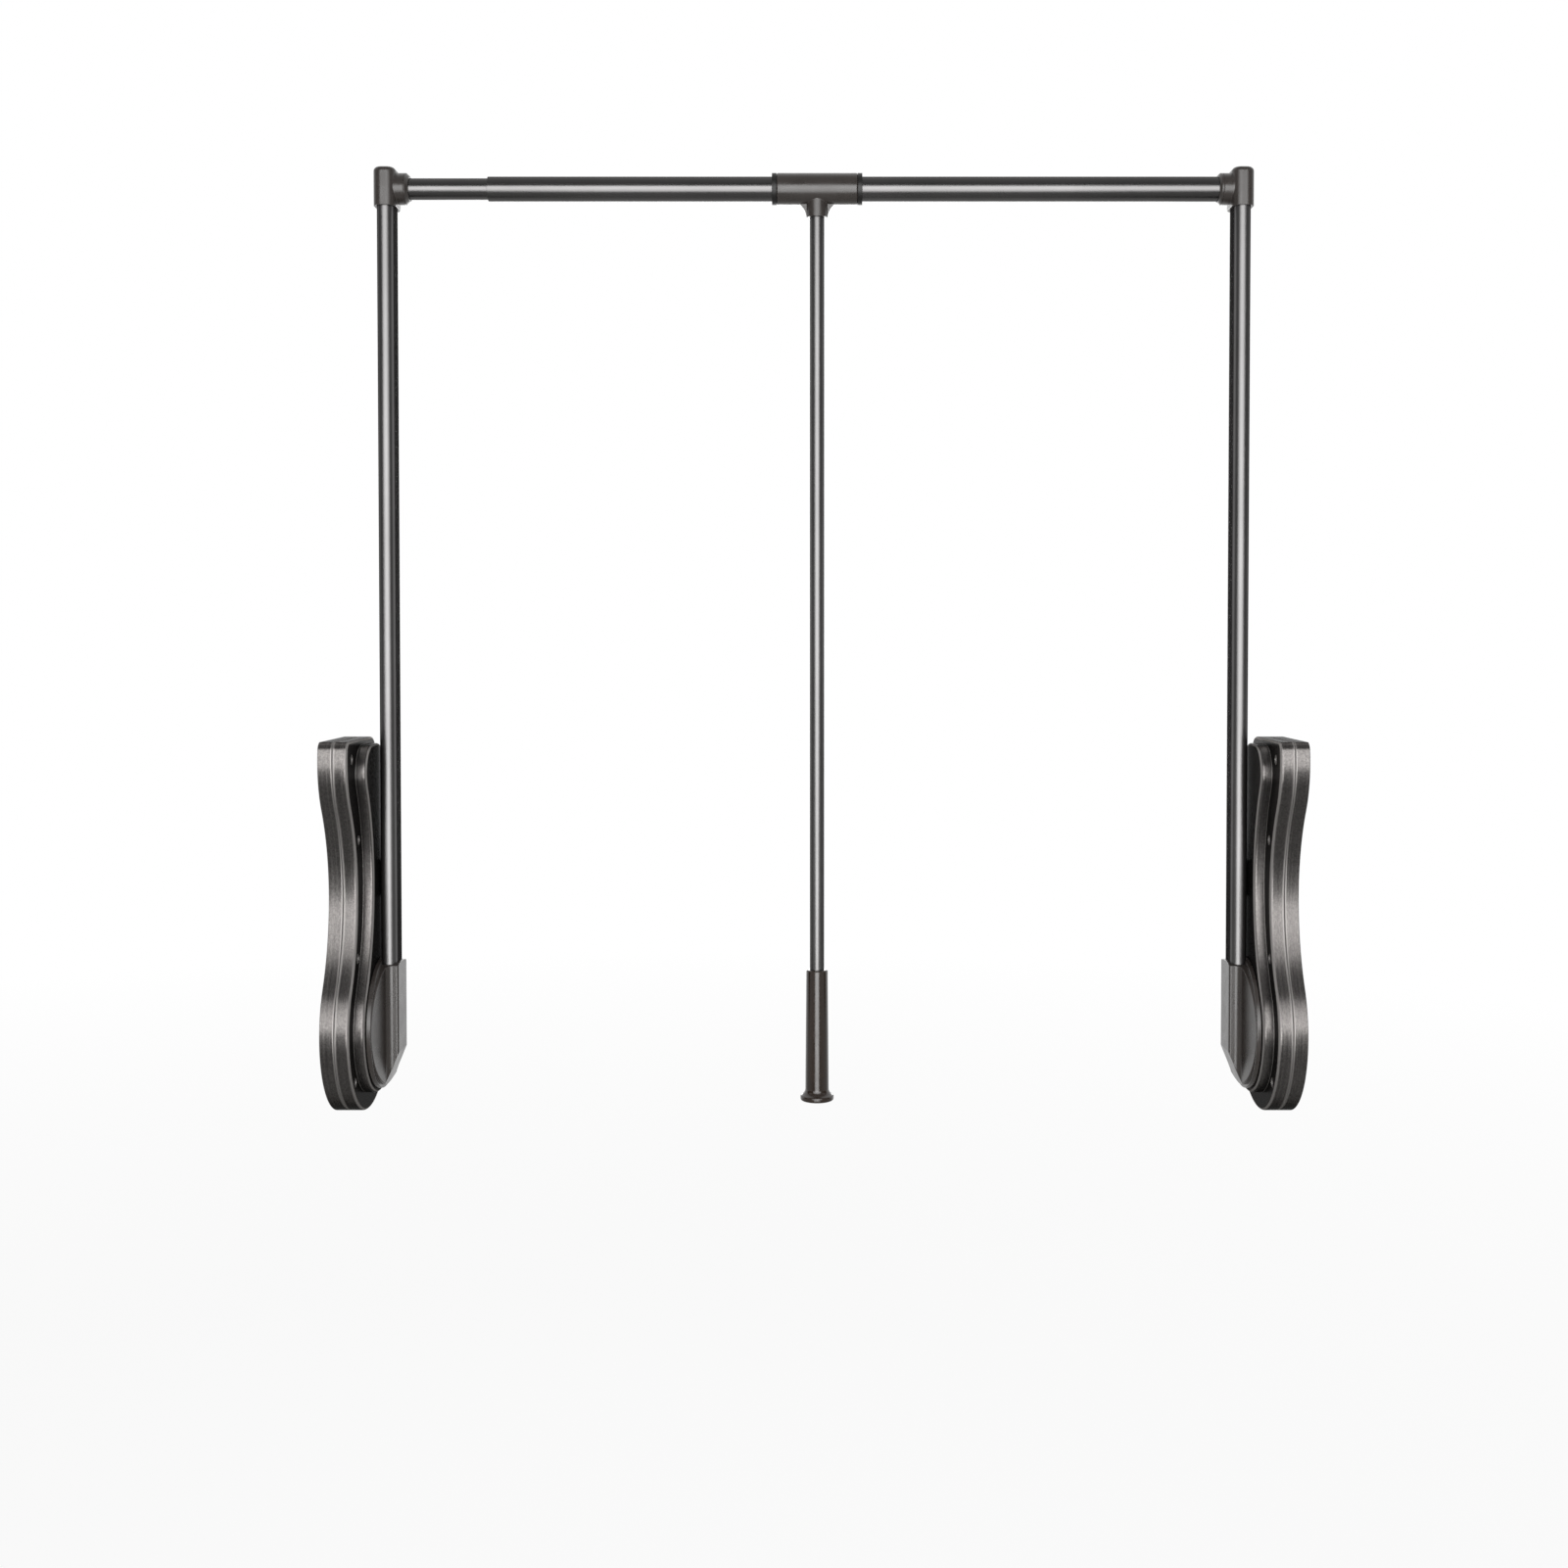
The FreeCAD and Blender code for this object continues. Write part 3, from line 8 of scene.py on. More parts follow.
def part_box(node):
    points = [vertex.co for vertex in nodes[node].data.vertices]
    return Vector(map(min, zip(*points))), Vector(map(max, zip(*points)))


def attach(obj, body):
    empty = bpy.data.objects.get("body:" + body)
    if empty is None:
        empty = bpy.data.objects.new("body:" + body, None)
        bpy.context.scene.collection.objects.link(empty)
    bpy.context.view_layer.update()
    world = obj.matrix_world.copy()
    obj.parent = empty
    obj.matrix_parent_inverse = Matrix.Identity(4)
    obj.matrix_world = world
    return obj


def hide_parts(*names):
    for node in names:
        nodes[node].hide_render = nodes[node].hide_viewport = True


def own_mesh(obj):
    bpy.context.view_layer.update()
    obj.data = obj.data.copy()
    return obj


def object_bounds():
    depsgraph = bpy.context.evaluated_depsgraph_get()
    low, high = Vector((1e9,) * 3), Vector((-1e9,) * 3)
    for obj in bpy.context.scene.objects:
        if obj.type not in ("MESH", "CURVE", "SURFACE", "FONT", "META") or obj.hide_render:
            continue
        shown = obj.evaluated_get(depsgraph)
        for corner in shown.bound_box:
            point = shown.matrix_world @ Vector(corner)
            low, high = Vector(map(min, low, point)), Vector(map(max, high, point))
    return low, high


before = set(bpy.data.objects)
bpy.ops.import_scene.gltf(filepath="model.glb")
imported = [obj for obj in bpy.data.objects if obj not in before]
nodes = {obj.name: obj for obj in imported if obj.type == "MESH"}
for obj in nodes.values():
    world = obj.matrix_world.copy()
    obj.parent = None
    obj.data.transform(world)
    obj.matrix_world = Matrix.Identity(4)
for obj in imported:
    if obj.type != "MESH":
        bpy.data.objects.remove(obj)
cad_low, cad_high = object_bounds()

MM = 0.001
SIDES = ("left", "right")

# Middle of the lift between the two wardrobe sides, and half the way between them, in metres
middle_x = (cad_low.x + cad_high.x) / 2
half_width = (cad_high.x - cad_low.x) / 2

# Levels of a housing from the wardrobe side: seam of its two mouldings, flange and plateau
PLATEAU_HEIGHT = 10 * MM
cover_low, cover_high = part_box("left_front_cover")
seam_level = cover_low.x
plateau_level = cover_high.x
flange_level = plateau_level - PLATEAU_HEIGHT

# Painted highlight lines on a housing, in the seam and on the rounding of the rims, where light catches
# them:
# the level of each, and how far it spreads to either side of that
PAINTED_HIGHLIGHT_LEVELS = (
    (seam_level, 2.2 * MM),
    (flange_level - 0.9 * MM, 1.5 * MM),
    (plateau_level - 0.7 * MM, 1.0 * MM),
)

# Sockets of the Mix node by number, because those for colours and for plain values share their names
SHARE = 0
FIRST_COLOUR, SECOND_COLOUR, MIXED_COLOUR = 6, 7, 2
FIRST_VALUE, SECOND_VALUE, MIXED_VALUE = 2, 3, 0

# Noise stays mostly between these two values
NOISE_LOW, NOISE_HIGH = 0.3, 0.7


def hex_colour(code):
    """An sRGB hex value as linear red, green, blue and alpha."""
    channels = [int(code[start:start + 2], 16) / 255 for start in (1, 3, 5)]
    linear = [c / 12.92 if c <= 0.04045 else ((c + 0.055) / 1.055) ** 2.4 for c in channels]
    return (*linear, 1.0)


def per_metre(size_mm):
    """Texture scale of a pattern whose features are this many millimetres across."""
    return 1 / (size_mm * MM)


def add_node(tree, kind, settings=None, inputs=None):
    """One shader node with its settings, and its inputs as plain values or as links from other sockets."""
    node = tree.nodes.new(kind)
    for name, value in (settings or {}).items():
        setattr(node, name, value)
    for name, value in (inputs or {}).items():
        if isinstance(value, bpy.types.NodeSocket):
            tree.links.new(value, node.inputs[name])
        else:
            node.inputs[name].default_value = value
    return node


def new_finish(name):
    """An empty material, and the place on the piece in metres, which stays with the piece as it moves."""
    material = bpy.data.materials.new(name)
    material.use_nodes = True
    tree = material.node_tree
    tree.nodes.clear()
    place = add_node(tree, "ShaderNodeTexCoord").outputs["Object"]
    return material, tree, place


def rounded_edges(tree, radius_mm):
    """The way the surface faces, with the sharp edges of the piece rounded off."""
    bevel = add_node(tree, "ShaderNodeBevel", {"samples": 6}, {"Radius": radius_mm * MM})
    return bevel.outputs["Normal"]


def worn_edges(tree, place, rounded, patch_mm):
    """How worn a spot is: most on the rounded edges, broken into patches."""
    # Wear starts where rounding turns the surface by 14 degrees and is full at 32, given as cosines
    start, full = 0.97, 0.85
    flat = add_node(tree, "ShaderNodeNewGeometry").outputs["Normal"]
    same = add_node(tree, "ShaderNodeVectorMath", {"operation": "DOT_PRODUCT"}, {0: rounded, 1: flat})
    edge = add_node(tree, "ShaderNodeMapRange", {}, {
        "Value": same.outputs["Value"], "From Min": start, "From Max": full, "To Min": 0.0, "To Max": 1.0})
    patches = add_node(tree, "ShaderNodeTexNoise", {}, {
        "Vector": place, "Scale": per_metre(patch_mm), "Detail": 3.0})
    wear = add_node(tree, "ShaderNodeMath", {"operation": "MULTIPLY"}, {
        0: edge.outputs["Result"], 1: patches.outputs["Fac"]})
    return wear.outputs["Value"]


def painted_highlight_lines(tree, place):
    """Painted highlight lines along a housing's outline, on its seam and on the rims of its flange and
    plateau.
    """
    # The middle fifth of a line is fully painted
    core = 0.2
    across = add_node(tree, "ShaderNodeSeparateXYZ", {}, {"Vector": place})
    offset = add_node(tree, "ShaderNodeMath", {"operation": "SUBTRACT"}, {
        0: across.outputs["X"], 1: middle_x})
    reach = add_node(tree, "ShaderNodeMath", {"operation": "ABSOLUTE"}, {0: offset.outputs["Value"]})
    level = add_node(tree, "ShaderNodeMath", {"operation": "SUBTRACT"}, {
        0: half_width, 1: reach.outputs["Value"]})
    lines = 0.0
    for height, spread in PAINTED_HIGHLIGHT_LEVELS:
        above = add_node(tree, "ShaderNodeMath", {"operation": "SUBTRACT"}, {
            0: level.outputs["Value"], 1: height})
        away = add_node(tree, "ShaderNodeMath", {"operation": "ABSOLUTE"}, {0: above.outputs["Value"]})
        band = add_node(tree, "ShaderNodeMapRange", {}, {
            "Value": away.outputs["Value"], "From Min": core * spread, "From Max": spread,
            "To Min": 1.0, "To Max": 0.0})
        joined = add_node(tree, "ShaderNodeMath", {"operation": "ADD", "use_clamp": True}, {
            0: lines, 1: band.outputs["Result"]})
        lines = joined.outputs["Value"]
    # Only the walls and their rounded rims get the painted highlight, not the broad faces, which look
    # sideways
    surface = add_node(tree, "ShaderNodeNewGeometry")
    facing = add_node(tree, "ShaderNodeSeparateXYZ", {}, {"Vector": surface.outputs["Normal"]})
    sideways = add_node(tree, "ShaderNodeMath", {"operation": "ABSOLUTE"}, {0: facing.outputs["X"]})
    wall = add_node(tree, "ShaderNodeMapRange", {}, {
        "Value": sideways.outputs["Value"], "From Min": 0.9, "From Max": 0.99, "To Min": 1.0, "To Max": 0.0})
    marked = add_node(tree, "ShaderNodeMath", {"operation": "MULTIPLY"}, {
        0: lines, 1: wall.outputs["Result"]})
    return marked.outputs["Value"]


def painted_abs():
    """ABS moulding sprayed with graphite metallic paint: a dark body whose flakes carry one soft band of
    light round each lobe, fine lines along the walls where the mould was stoned, and matt paler lines along
    the seam and the rims, which are a painted highlight."""
    material, tree, place = new_finish("metallic_painted_abs")
    rounded = rounded_edges(tree, radius_mm=0.8)
    wear = worn_edges(tree, place, rounded, patch_mm=14)
    # Where the seam and the rims get a painted highlight
    painted_highlight_mask = painted_highlight_lines(tree, place)
    # Stone marks follow the outline some 0.3 mm apart, drawn 2.5 mm apart so that they show
    apart = per_metre(2.5)
    follow = per_metre(400)
    stroke = add_node(tree, "ShaderNodeMapping", {"vector_type": "POINT"}, {
        "Vector": place, "Scale": (apart, follow, follow)})
    stoned = add_node(tree, "ShaderNodeTexNoise", {}, {
        "Vector": stroke.outputs["Vector"], "Scale": 1.0, "Detail": 3.0, "Roughness": 0.6})
    shade = add_node(tree, "ShaderNodeMapRange", {}, {
        "Value": stoned.outputs["Fac"], "From Min": NOISE_LOW, "From Max": NOISE_HIGH,
        "To Min": 0.7, "To Max": 1.0})
    # Flake in the paint is about 0.05 mm across, drawn at 0.9 mm so that it shows
    flake = add_node(tree, "ShaderNodeTexVoronoi", {"feature": "F1"}, {
        "Vector": place, "Scale": per_metre(0.9)})
    glint = add_node(tree, "ShaderNodeSeparateColor", {}, {"Color": flake.outputs["Color"]})
    speck = add_node(tree, "ShaderNodeMix", {"data_type": "RGBA"}, {
        SHARE: glint.outputs["Red"],
        FIRST_COLOUR: hex_colour("#605d5c"), SECOND_COLOUR: hex_colour("#7a7775")})
    # The spray's slow drift from thick to thin, over some 40 mm
    drift = add_node(tree, "ShaderNodeTexNoise", {}, {
        "Vector": place, "Scale": per_metre(40), "Detail": 5.0})
    sprayed = add_node(tree, "ShaderNodeMix", {"data_type": "RGBA", "blend_type": "MULTIPLY"}, {
        SHARE: 0.3, FIRST_COLOUR: speck.outputs[MIXED_COLOUR], SECOND_COLOUR: drift.outputs["Fac"]})
    lined = add_node(tree, "ShaderNodeMix", {"data_type": "RGBA", "blend_type": "MULTIPLY"}, {
        SHARE: 1.0, FIRST_COLOUR: sprayed.outputs[MIXED_COLOUR], SECOND_COLOUR: shade.outputs["Result"]})
    # Paler colour on the seam and the rims: a painted highlight
    highlit_colour = add_node(tree, "ShaderNodeMix", {"data_type": "RGBA"}, {
        SHARE: painted_highlight_mask, FIRST_COLOUR: lined.outputs[MIXED_COLOUR], SECOND_COLOUR: hex_colour("#9d9a98")})
    marked = add_node(tree, "ShaderNodeMix", {"data_type": "RGBA"}, {
        SHARE: wear, FIRST_COLOUR: highlit_colour.outputs[MIXED_COLOUR], SECOND_COLOUR: hex_colour("#a39f9c")})
    # Stoned lines are smoother or duller by turns, and the painted highlight lines are matt
    shine = add_node(tree, "ShaderNodeMapRange", {}, {
        "Value": stoned.outputs["Fac"], "From Min": NOISE_LOW, "From Max": NOISE_HIGH,
        "To Min": 0.22, "To Max": 0.30})
    gloss = add_node(tree, "ShaderNodeMix", {"data_type": "FLOAT"}, {
        SHARE: painted_highlight_mask, FIRST_VALUE: shine.outputs["Result"], SECOND_VALUE: 0.55})
    # Orange peel has waves of about 2.5 mm, a few microns deep
    peel = add_node(tree, "ShaderNodeTexNoise", {}, {
        "Vector": place, "Scale": per_metre(2.5), "Detail": 2.0})
    ripple = add_node(tree, "ShaderNodeBump", {}, {
        "Strength": 0.30, "Distance": 0.03 * MM, "Height": peel.outputs["Fac"], "Normal": rounded})
    # The tint dims the flakes where they are seen edge-on
    shader = add_node(tree, "ShaderNodeBsdfPrincipled", {}, {
        "Base Color": marked.outputs[MIXED_COLOUR], "Metallic": 0.9, "Roughness": gloss.outputs[MIXED_VALUE],
        "Specular Tint": hex_colour("#505050"), "Normal": ripple.outputs["Normal"]})
    add_node(tree, "ShaderNodeOutputMaterial", {}, {"Surface": shader.outputs["BSDF"]})
    return material


def coated_aluminium(name, along, dark, light, grazing, roughness):
    """Drawn aluminium tube, anodised graphite: a dark metal whose fine die lines run along the tube and draw
    the light out into one long bright streak, and whose dyed film dims it at grazing angles."""
    material, tree, place = new_finish(name)
    rounded = rounded_edges(tree, radius_mm=0.4)
    wear = worn_edges(tree, place, rounded, patch_mm=9)
    # Die lines are about 0.1 mm apart and run for decimetres, drawn 0.8 mm apart so that they show
    across = per_metre(0.8)
    run = per_metre(160)
    drawn = add_node(tree, "ShaderNodeMapping", {"vector_type": "POINT"}, {
        "Vector": place, "Scale": tuple(run if axis == along else across for axis in "XYZ")})
    lines = add_node(tree, "ShaderNodeTexNoise", {}, {
        "Vector": drawn.outputs["Vector"], "Scale": 1.0, "Detail": 3.0})
    tint = add_node(tree, "ShaderNodeMix", {"data_type": "RGBA"}, {
        SHARE: lines.outputs["Fac"], FIRST_COLOUR: hex_colour(dark), SECOND_COLOUR: hex_colour(light)})
    # The dye takes slightly deeper or paler over some 60 mm
    dye = add_node(tree, "ShaderNodeTexNoise", {}, {
        "Vector": place, "Scale": per_metre(60), "Detail": 4.0})
    toned = add_node(tree, "ShaderNodeMix", {"data_type": "RGBA", "blend_type": "MULTIPLY"}, {
        SHARE: 0.25, FIRST_COLOUR: tint.outputs[MIXED_COLOUR], SECOND_COLOUR: dye.outputs["Fac"]})
    bared = add_node(tree, "ShaderNodeMix", {"data_type": "RGBA"}, {
        SHARE: wear, FIRST_COLOUR: toned.outputs[MIXED_COLOUR], SECOND_COLOUR: hex_colour("#a5a2a2")})
    gloss = add_node(tree, "ShaderNodeMapRange", {}, {
        "Value": lines.outputs["Fac"], "From Min": NOISE_LOW, "From Max": NOISE_HIGH,
        "To Min": roughness - 0.03, "To Max": roughness + 0.04})
    grain = add_node(tree, "ShaderNodeBump", {}, {
        "Strength": 0.25, "Distance": 0.02 * MM, "Height": lines.outputs["Fac"], "Normal": rounded})
    shader = add_node(tree, "ShaderNodeBsdfPrincipled", {}, {
        "Base Color": bared.outputs[MIXED_COLOUR], "Metallic": 1.0, "Roughness": gloss.outputs["Result"],
        "Specular Tint": hex_colour(grazing), "Normal": grain.outputs["Normal"]})
    add_node(tree, "ShaderNodeOutputMaterial", {}, {"Surface": shader.outputs["BSDF"]})
    return material


def moulded_plastic(name, dark, light, worn, ior, roughness, grit_mm, edge_mm):
    """Plastic from a spark-eroded mould: an even colour, a fine grit that breaks up the gloss, and slow
    changes of sheen where the melt flowed."""
    material, tree, place = new_finish(name)
    rounded = rounded_edges(tree, edge_mm)
    wear = worn_edges(tree, place, rounded, patch_mm=8)
    # Grit from the mould is about 0.1 mm across, drawn some 1 mm across so that it shows
    grit = add_node(tree, "ShaderNodeTexNoise", {}, {
        "Vector": place, "Scale": per_metre(grit_mm), "Detail": 2.0})
    # Flow marks wander over some 18 mm
    flow = add_node(tree, "ShaderNodeTexNoise", {}, {
        "Vector": place, "Scale": per_metre(18), "Detail": 4.0, "Distortion": 0.6})
    tone = add_node(tree, "ShaderNodeMix", {"data_type": "RGBA"}, {
        SHARE: flow.outputs["Fac"], FIRST_COLOUR: hex_colour(dark), SECOND_COLOUR: hex_colour(light)})
    marked = add_node(tree, "ShaderNodeMix", {"data_type": "RGBA"}, {
        SHARE: wear, FIRST_COLOUR: tone.outputs[MIXED_COLOUR], SECOND_COLOUR: hex_colour(worn)})
    gloss = add_node(tree, "ShaderNodeMapRange", {}, {
        "Value": flow.outputs["Fac"], "From Min": NOISE_LOW, "From Max": NOISE_HIGH,
        "To Min": roughness - 0.04, "To Max": roughness + 0.05})
    pits = add_node(tree, "ShaderNodeBump", {}, {
        "Strength": 0.35, "Distance": 0.03 * MM, "Height": grit.outputs["Fac"], "Normal": rounded})
    shader = add_node(tree, "ShaderNodeBsdfPrincipled", {}, {
        "Base Color": marked.outputs[MIXED_COLOUR], "Roughness": gloss.outputs["Result"], "IOR": ior,
        "Normal": pits.outputs["Normal"]})
    add_node(tree, "ShaderNodeOutputMaterial", {}, {"Surface": shader.outputs["BSDF"]})
    return material


def plain_metal(name, dark, light, roughness, grain_mm):
    """Bare, plated or blackened metal: a cool sheen, clouded by its plating or its casting skin."""
    material, tree, place = new_finish(name)
    rounded = rounded_edges(tree, radius_mm=0.2)
    # Clouds in the skin are a few millimetres across
    cloud = add_node(tree, "ShaderNodeTexNoise", {}, {
        "Vector": place, "Scale": per_metre(grain_mm), "Detail": 6.0})
    tone = add_node(tree, "ShaderNodeMix", {"data_type": "RGBA"}, {
        SHARE: cloud.outputs["Fac"], FIRST_COLOUR: hex_colour(dark), SECOND_COLOUR: hex_colour(light)})
    gloss = add_node(tree, "ShaderNodeMapRange", {}, {
        "Value": cloud.outputs["Fac"], "From Min": NOISE_LOW, "From Max": NOISE_HIGH,
        "To Min": roughness - 0.05, "To Max": roughness + 0.08})
    skin = add_node(tree, "ShaderNodeBump", {}, {
        "Strength": 0.2, "Distance": 0.02 * MM, "Height": cloud.outputs["Fac"], "Normal": rounded})
    shader = add_node(tree, "ShaderNodeBsdfPrincipled", {}, {
        "Base Color": tone.outputs[MIXED_COLOUR], "Metallic": 1.0, "Roughness": gloss.outputs["Result"],
        "Normal": skin.outputs["Normal"]})
    add_node(tree, "ShaderNodeOutputMaterial", {}, {"Surface": shader.outputs["BSDF"]})
    return material


housing_paint = painted_abs()
upright_tube = coated_aluminium(
    "anodised_aluminium_upright", along="Z", dark="#6d6c6c", light="#807f7f", grazing="#303030",
    roughness=0.32)
# Hangers slide on the rail, so it is drawn smoother
rail_tube = coated_aluminium(
    "anodised_aluminium_rail", along="X", dark="#656464", light="#777676", grazing="#909090",
    roughness=0.26)
# Glass-filled nylon for the fittings, with a satin sheen from its fibres
fitting_nylon = moulded_plastic(
    "moulded_nylon", dark="#2e2a28", light="#3a3532", worn="#5c5654", ior=1.62, roughness=0.28,
    grit_mm=0.9, edge_mm=0.8)
# Handle plastic, darker and browner, smooth from the mould
grip_abs = moulded_plastic(
    "moulded_black_abs", dark="#1f160f", light="#2b2018", worn="#443a33", ior=1.65, roughness=0.20,
    grit_mm=1.4, edge_mm=0.6)
# Black end rings of the tee, matt so that they read as two dark lines
ring_acetal = moulded_plastic(
    "moulded_black_acetal", dark="#121110", light="#1a1918", worn="#2c2a29", ior=1.48, roughness=0.45,
    grit_mm=0.9, edge_mm=0.3)
# Natural acetal bearings, pale and waxy
bearing_acetal = moulded_plastic(
    "moulded_acetal", dark="#d6d2c8", light="#e2dfd6", worn="#eae7e0", ior=1.48, roughness=0.42,
    grit_mm=1.2, edge_mm=0.3)
plated_steel = plain_metal(
    "zinc_plated_steel", dark="#a3a6a8", light="#c4c7c8", roughness=0.34, grain_mm=2.0)
blackened_steel = plain_metal(
    "black_oxide_steel", dark="#232122", light="#343133", roughness=0.30, grain_mm=1.0)
cast_zinc = plain_metal(
    "die_cast_zinc", dark="#86888a", light="#9d9fa1", roughness=0.46, grain_mm=3.0)

# Finish of each material slot that the CAD nodes come with
FINISHES = {
    "case_plastic": housing_paint,
    "coated_tube": upright_tube,
    "fitting_plastic": fitting_nylon,
    "black_plastic": grip_abs,
    "steel": plated_steel,
    "black_steel": blackened_steel,
    "bearing_plastic": bearing_acetal,
    "die_cast": cast_zinc,
}
for node in nodes.values():
    for holder in node.material_slots:
        holder.material = FINISHES[holder.material.name]
for name in ("rail_inner_tube", "rail_outer_tube"):
    nodes[name].material_slots[0].material = rail_tube
for name in ("tee_ring_left", "tee_ring_right"):
    nodes[name].material_slots[0].material = ring_acetal


def new_piece(name, mesh, finish):
    """A mesh in the row's frame as one shown piece, smooth but for its sharp edges."""
    sharp = math.radians(35)
    bmesh.ops.recalc_face_normals(mesh, faces=mesh.faces)
    data = bpy.data.meshes.new(name)
    mesh.to_mesh(data)
    mesh.free()
    data.materials.append(finish)
    data.shade_smooth()
    data.set_sharp_from_angle(angle=sharp)
    piece = bpy.data.objects.new(name, data)
    bpy.context.scene.collection.objects.link(piece)
    return piece


def separate_solids(node):
    """Lowest and highest corner of each solid in a node."""
    # Corners that are this close are one corner
    same_corner = 0.001 * MM
    mesh = bmesh.new()
    mesh.from_mesh(nodes[node].data)
    bmesh.ops.remove_doubles(mesh, verts=mesh.verts, dist=same_corner)
    boxes = []
    waiting = set(mesh.verts)
    while waiting:
        stack = [waiting.pop()]
        found = []
        while stack:
            corner = stack.pop()
            found.append(corner.co.copy())
            for edge in corner.link_edges:
                other = edge.other_vert(corner)
                if other in waiting:
                    waiting.remove(other)
                    stack.append(other)
        boxes.append((Vector(map(min, zip(*found))), Vector(map(max, zip(*found)))))
    mesh.free()
    return sorted(boxes, key=lambda box: (box[0].z, box[0].y))


def close_rings(mesh, rings):
    """Joins rings of corners into a skin, with a fan where a ring is a single corner."""
    for first, second in zip(rings, rings[1:]):
        count = max(len(first), len(second))
        for k in range(count):
            after = (k + 1) % count
            corners = [first[k % len(first)], first[after % len(first)],
                       second[after % len(second)], second[k % len(second)]]
            mesh.faces.new(list(dict.fromkeys(corners)))


def screw_body(length, head_radius):
    """A pan-head tapping screw along X from its point at zero: domed head, plain neck, climbing thread."""
    core, crest, pitch = 1.05 * MM, 1.4 * MM, 1.3 * MM
    head_height, rim_height, rim_bevel = 2.4 * MM, 1.0 * MM, 0.2 * MM
    neck_length, point_length, taper = 1.5 * MM, 0.5 * MM, 2.5 * MM
    # Half a ridge as a share of the pitch, and the blunt point as a share of the full radius
    half_ridge, blunt = 0.3, 0.25
    sides, dome_steps, rows_per_turn = 36, 8, 8
    seat = length - head_height
    rim = seat + rim_height
    neck = seat - neck_length
    turns = [2 * math.pi * k / sides for k in range(sides)]
    plain = []
    for step in range(1, dome_steps + 1):
        lean = math.radians(90 * step / dome_steps)
        plain.append((rim + (length - rim) * math.cos(lean), head_radius * math.sin(lean)))
    plain += [(seat + rim_bevel, head_radius), (seat, head_radius - rim_bevel), (seat, crest), (neck, crest)]
    mesh = bmesh.new()
    rings = [[mesh.verts.new((length, 0, 0))]]
    for along, radius in plain:
        rings.append([mesh.verts.new((along, radius * math.cos(t), radius * math.sin(t))) for t in turns])
    rows = round((neck - point_length) / pitch * rows_per_turn)
    for row in range(1, rows):
        along = neck * (1 - row / rows)
        ring = []
        for k, t in enumerate(turns):
            phase = (along / pitch - k / sides) % 1
            ridge = max(0.0, 1 - abs(phase - 0.5) / half_ridge)
            radius = (core + (crest - core) * ridge) * min(1.0, blunt + along / taper)
            ring.append(mesh.verts.new((along, radius * math.cos(t), radius * math.sin(t))))
        rings.append(ring)
    rings.append([mesh.verts.new((0, 0, 0))])
    close_rings(mesh, rings)
    bmesh.ops.recalc_face_normals(mesh, faces=mesh.faces)
    return mesh


def cross_recess(mouth, floor):
    """A cross with sloping walls, the shape that a driver's tip leaves in a head."""
    arm_reach, arm_half, floor_share = 2.1 * MM, 0.42 * MM, 0.62
    mesh = bmesh.new()
    rings = []
    for along, share in ((mouth, 1.0), (floor, floor_share)):
        out, half = arm_reach * share, arm_half * share
        outline = [(out, -half), (out, half), (half, half), (half, out), (-half, out), (-half, half),
                   (-out, half), (-out, -half), (-half, -half), (-half, -out), (half, -out), (half, -half)]
        rings.append([mesh.verts.new((along, y, z)) for y, z in outline])
    close_rings(mesh, rings)
    mesh.faces.new(rings[0])
    mesh.faces.new(rings[1])
    bmesh.ops.recalc_face_normals(mesh, faces=mesh.faces)
    return mesh


def case_screws(side):
    """The screws of one housing, each with a cross recess and a thread, where the CAD has its plain ones."""
    recess_depth, overshoot = 1.5 * MM, 0.2 * MM
    # Each screw stopped at its own angle when it was driven
    stop_turn = math.radians(37)
    boxes = separate_solids(side + "_case_screws")
    low, high = boxes[0]
    length = high.x - low.x
    body = new_piece(side + "_screw_blank", screw_body(length, (high.y - low.y) / 2), blackened_steel)
    recess = cross_recess(length + overshoot, length - recess_depth)
    tool = new_piece(side + "_screw_driver", recess, blackened_steel)
    cut = body.modifiers.new("recess", "BOOLEAN")
    cut.object = tool
    cut.solver = "EXACT"
    finished = bpy.data.meshes.new_from_object(body.evaluated_get(bpy.context.evaluated_depsgraph_get()))
    aimed = Matrix.Rotation(0 if side == "left" else math.pi, 4, "Z")
    mesh = bmesh.new()
    for number, (low, high) in enumerate(boxes):
        middle = (low + high) / 2
        point = Vector((low.x if side == "left" else high.x, middle.y, middle.z))
        turned = Matrix.Rotation(stop_turn * number, 4, "X")
        one = finished.copy()
        one.transform(Matrix.Translation(point) @ aimed @ turned)
        mesh.from_mesh(one)
        bpy.data.meshes.remove(one)
    for spare in (body, tool):
        bpy.data.objects.remove(spare)
    screws = new_piece(side + "_driven_screws", mesh, blackened_steel)
    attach(screws, side + "_housing")
    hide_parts(side + "_case_screws")


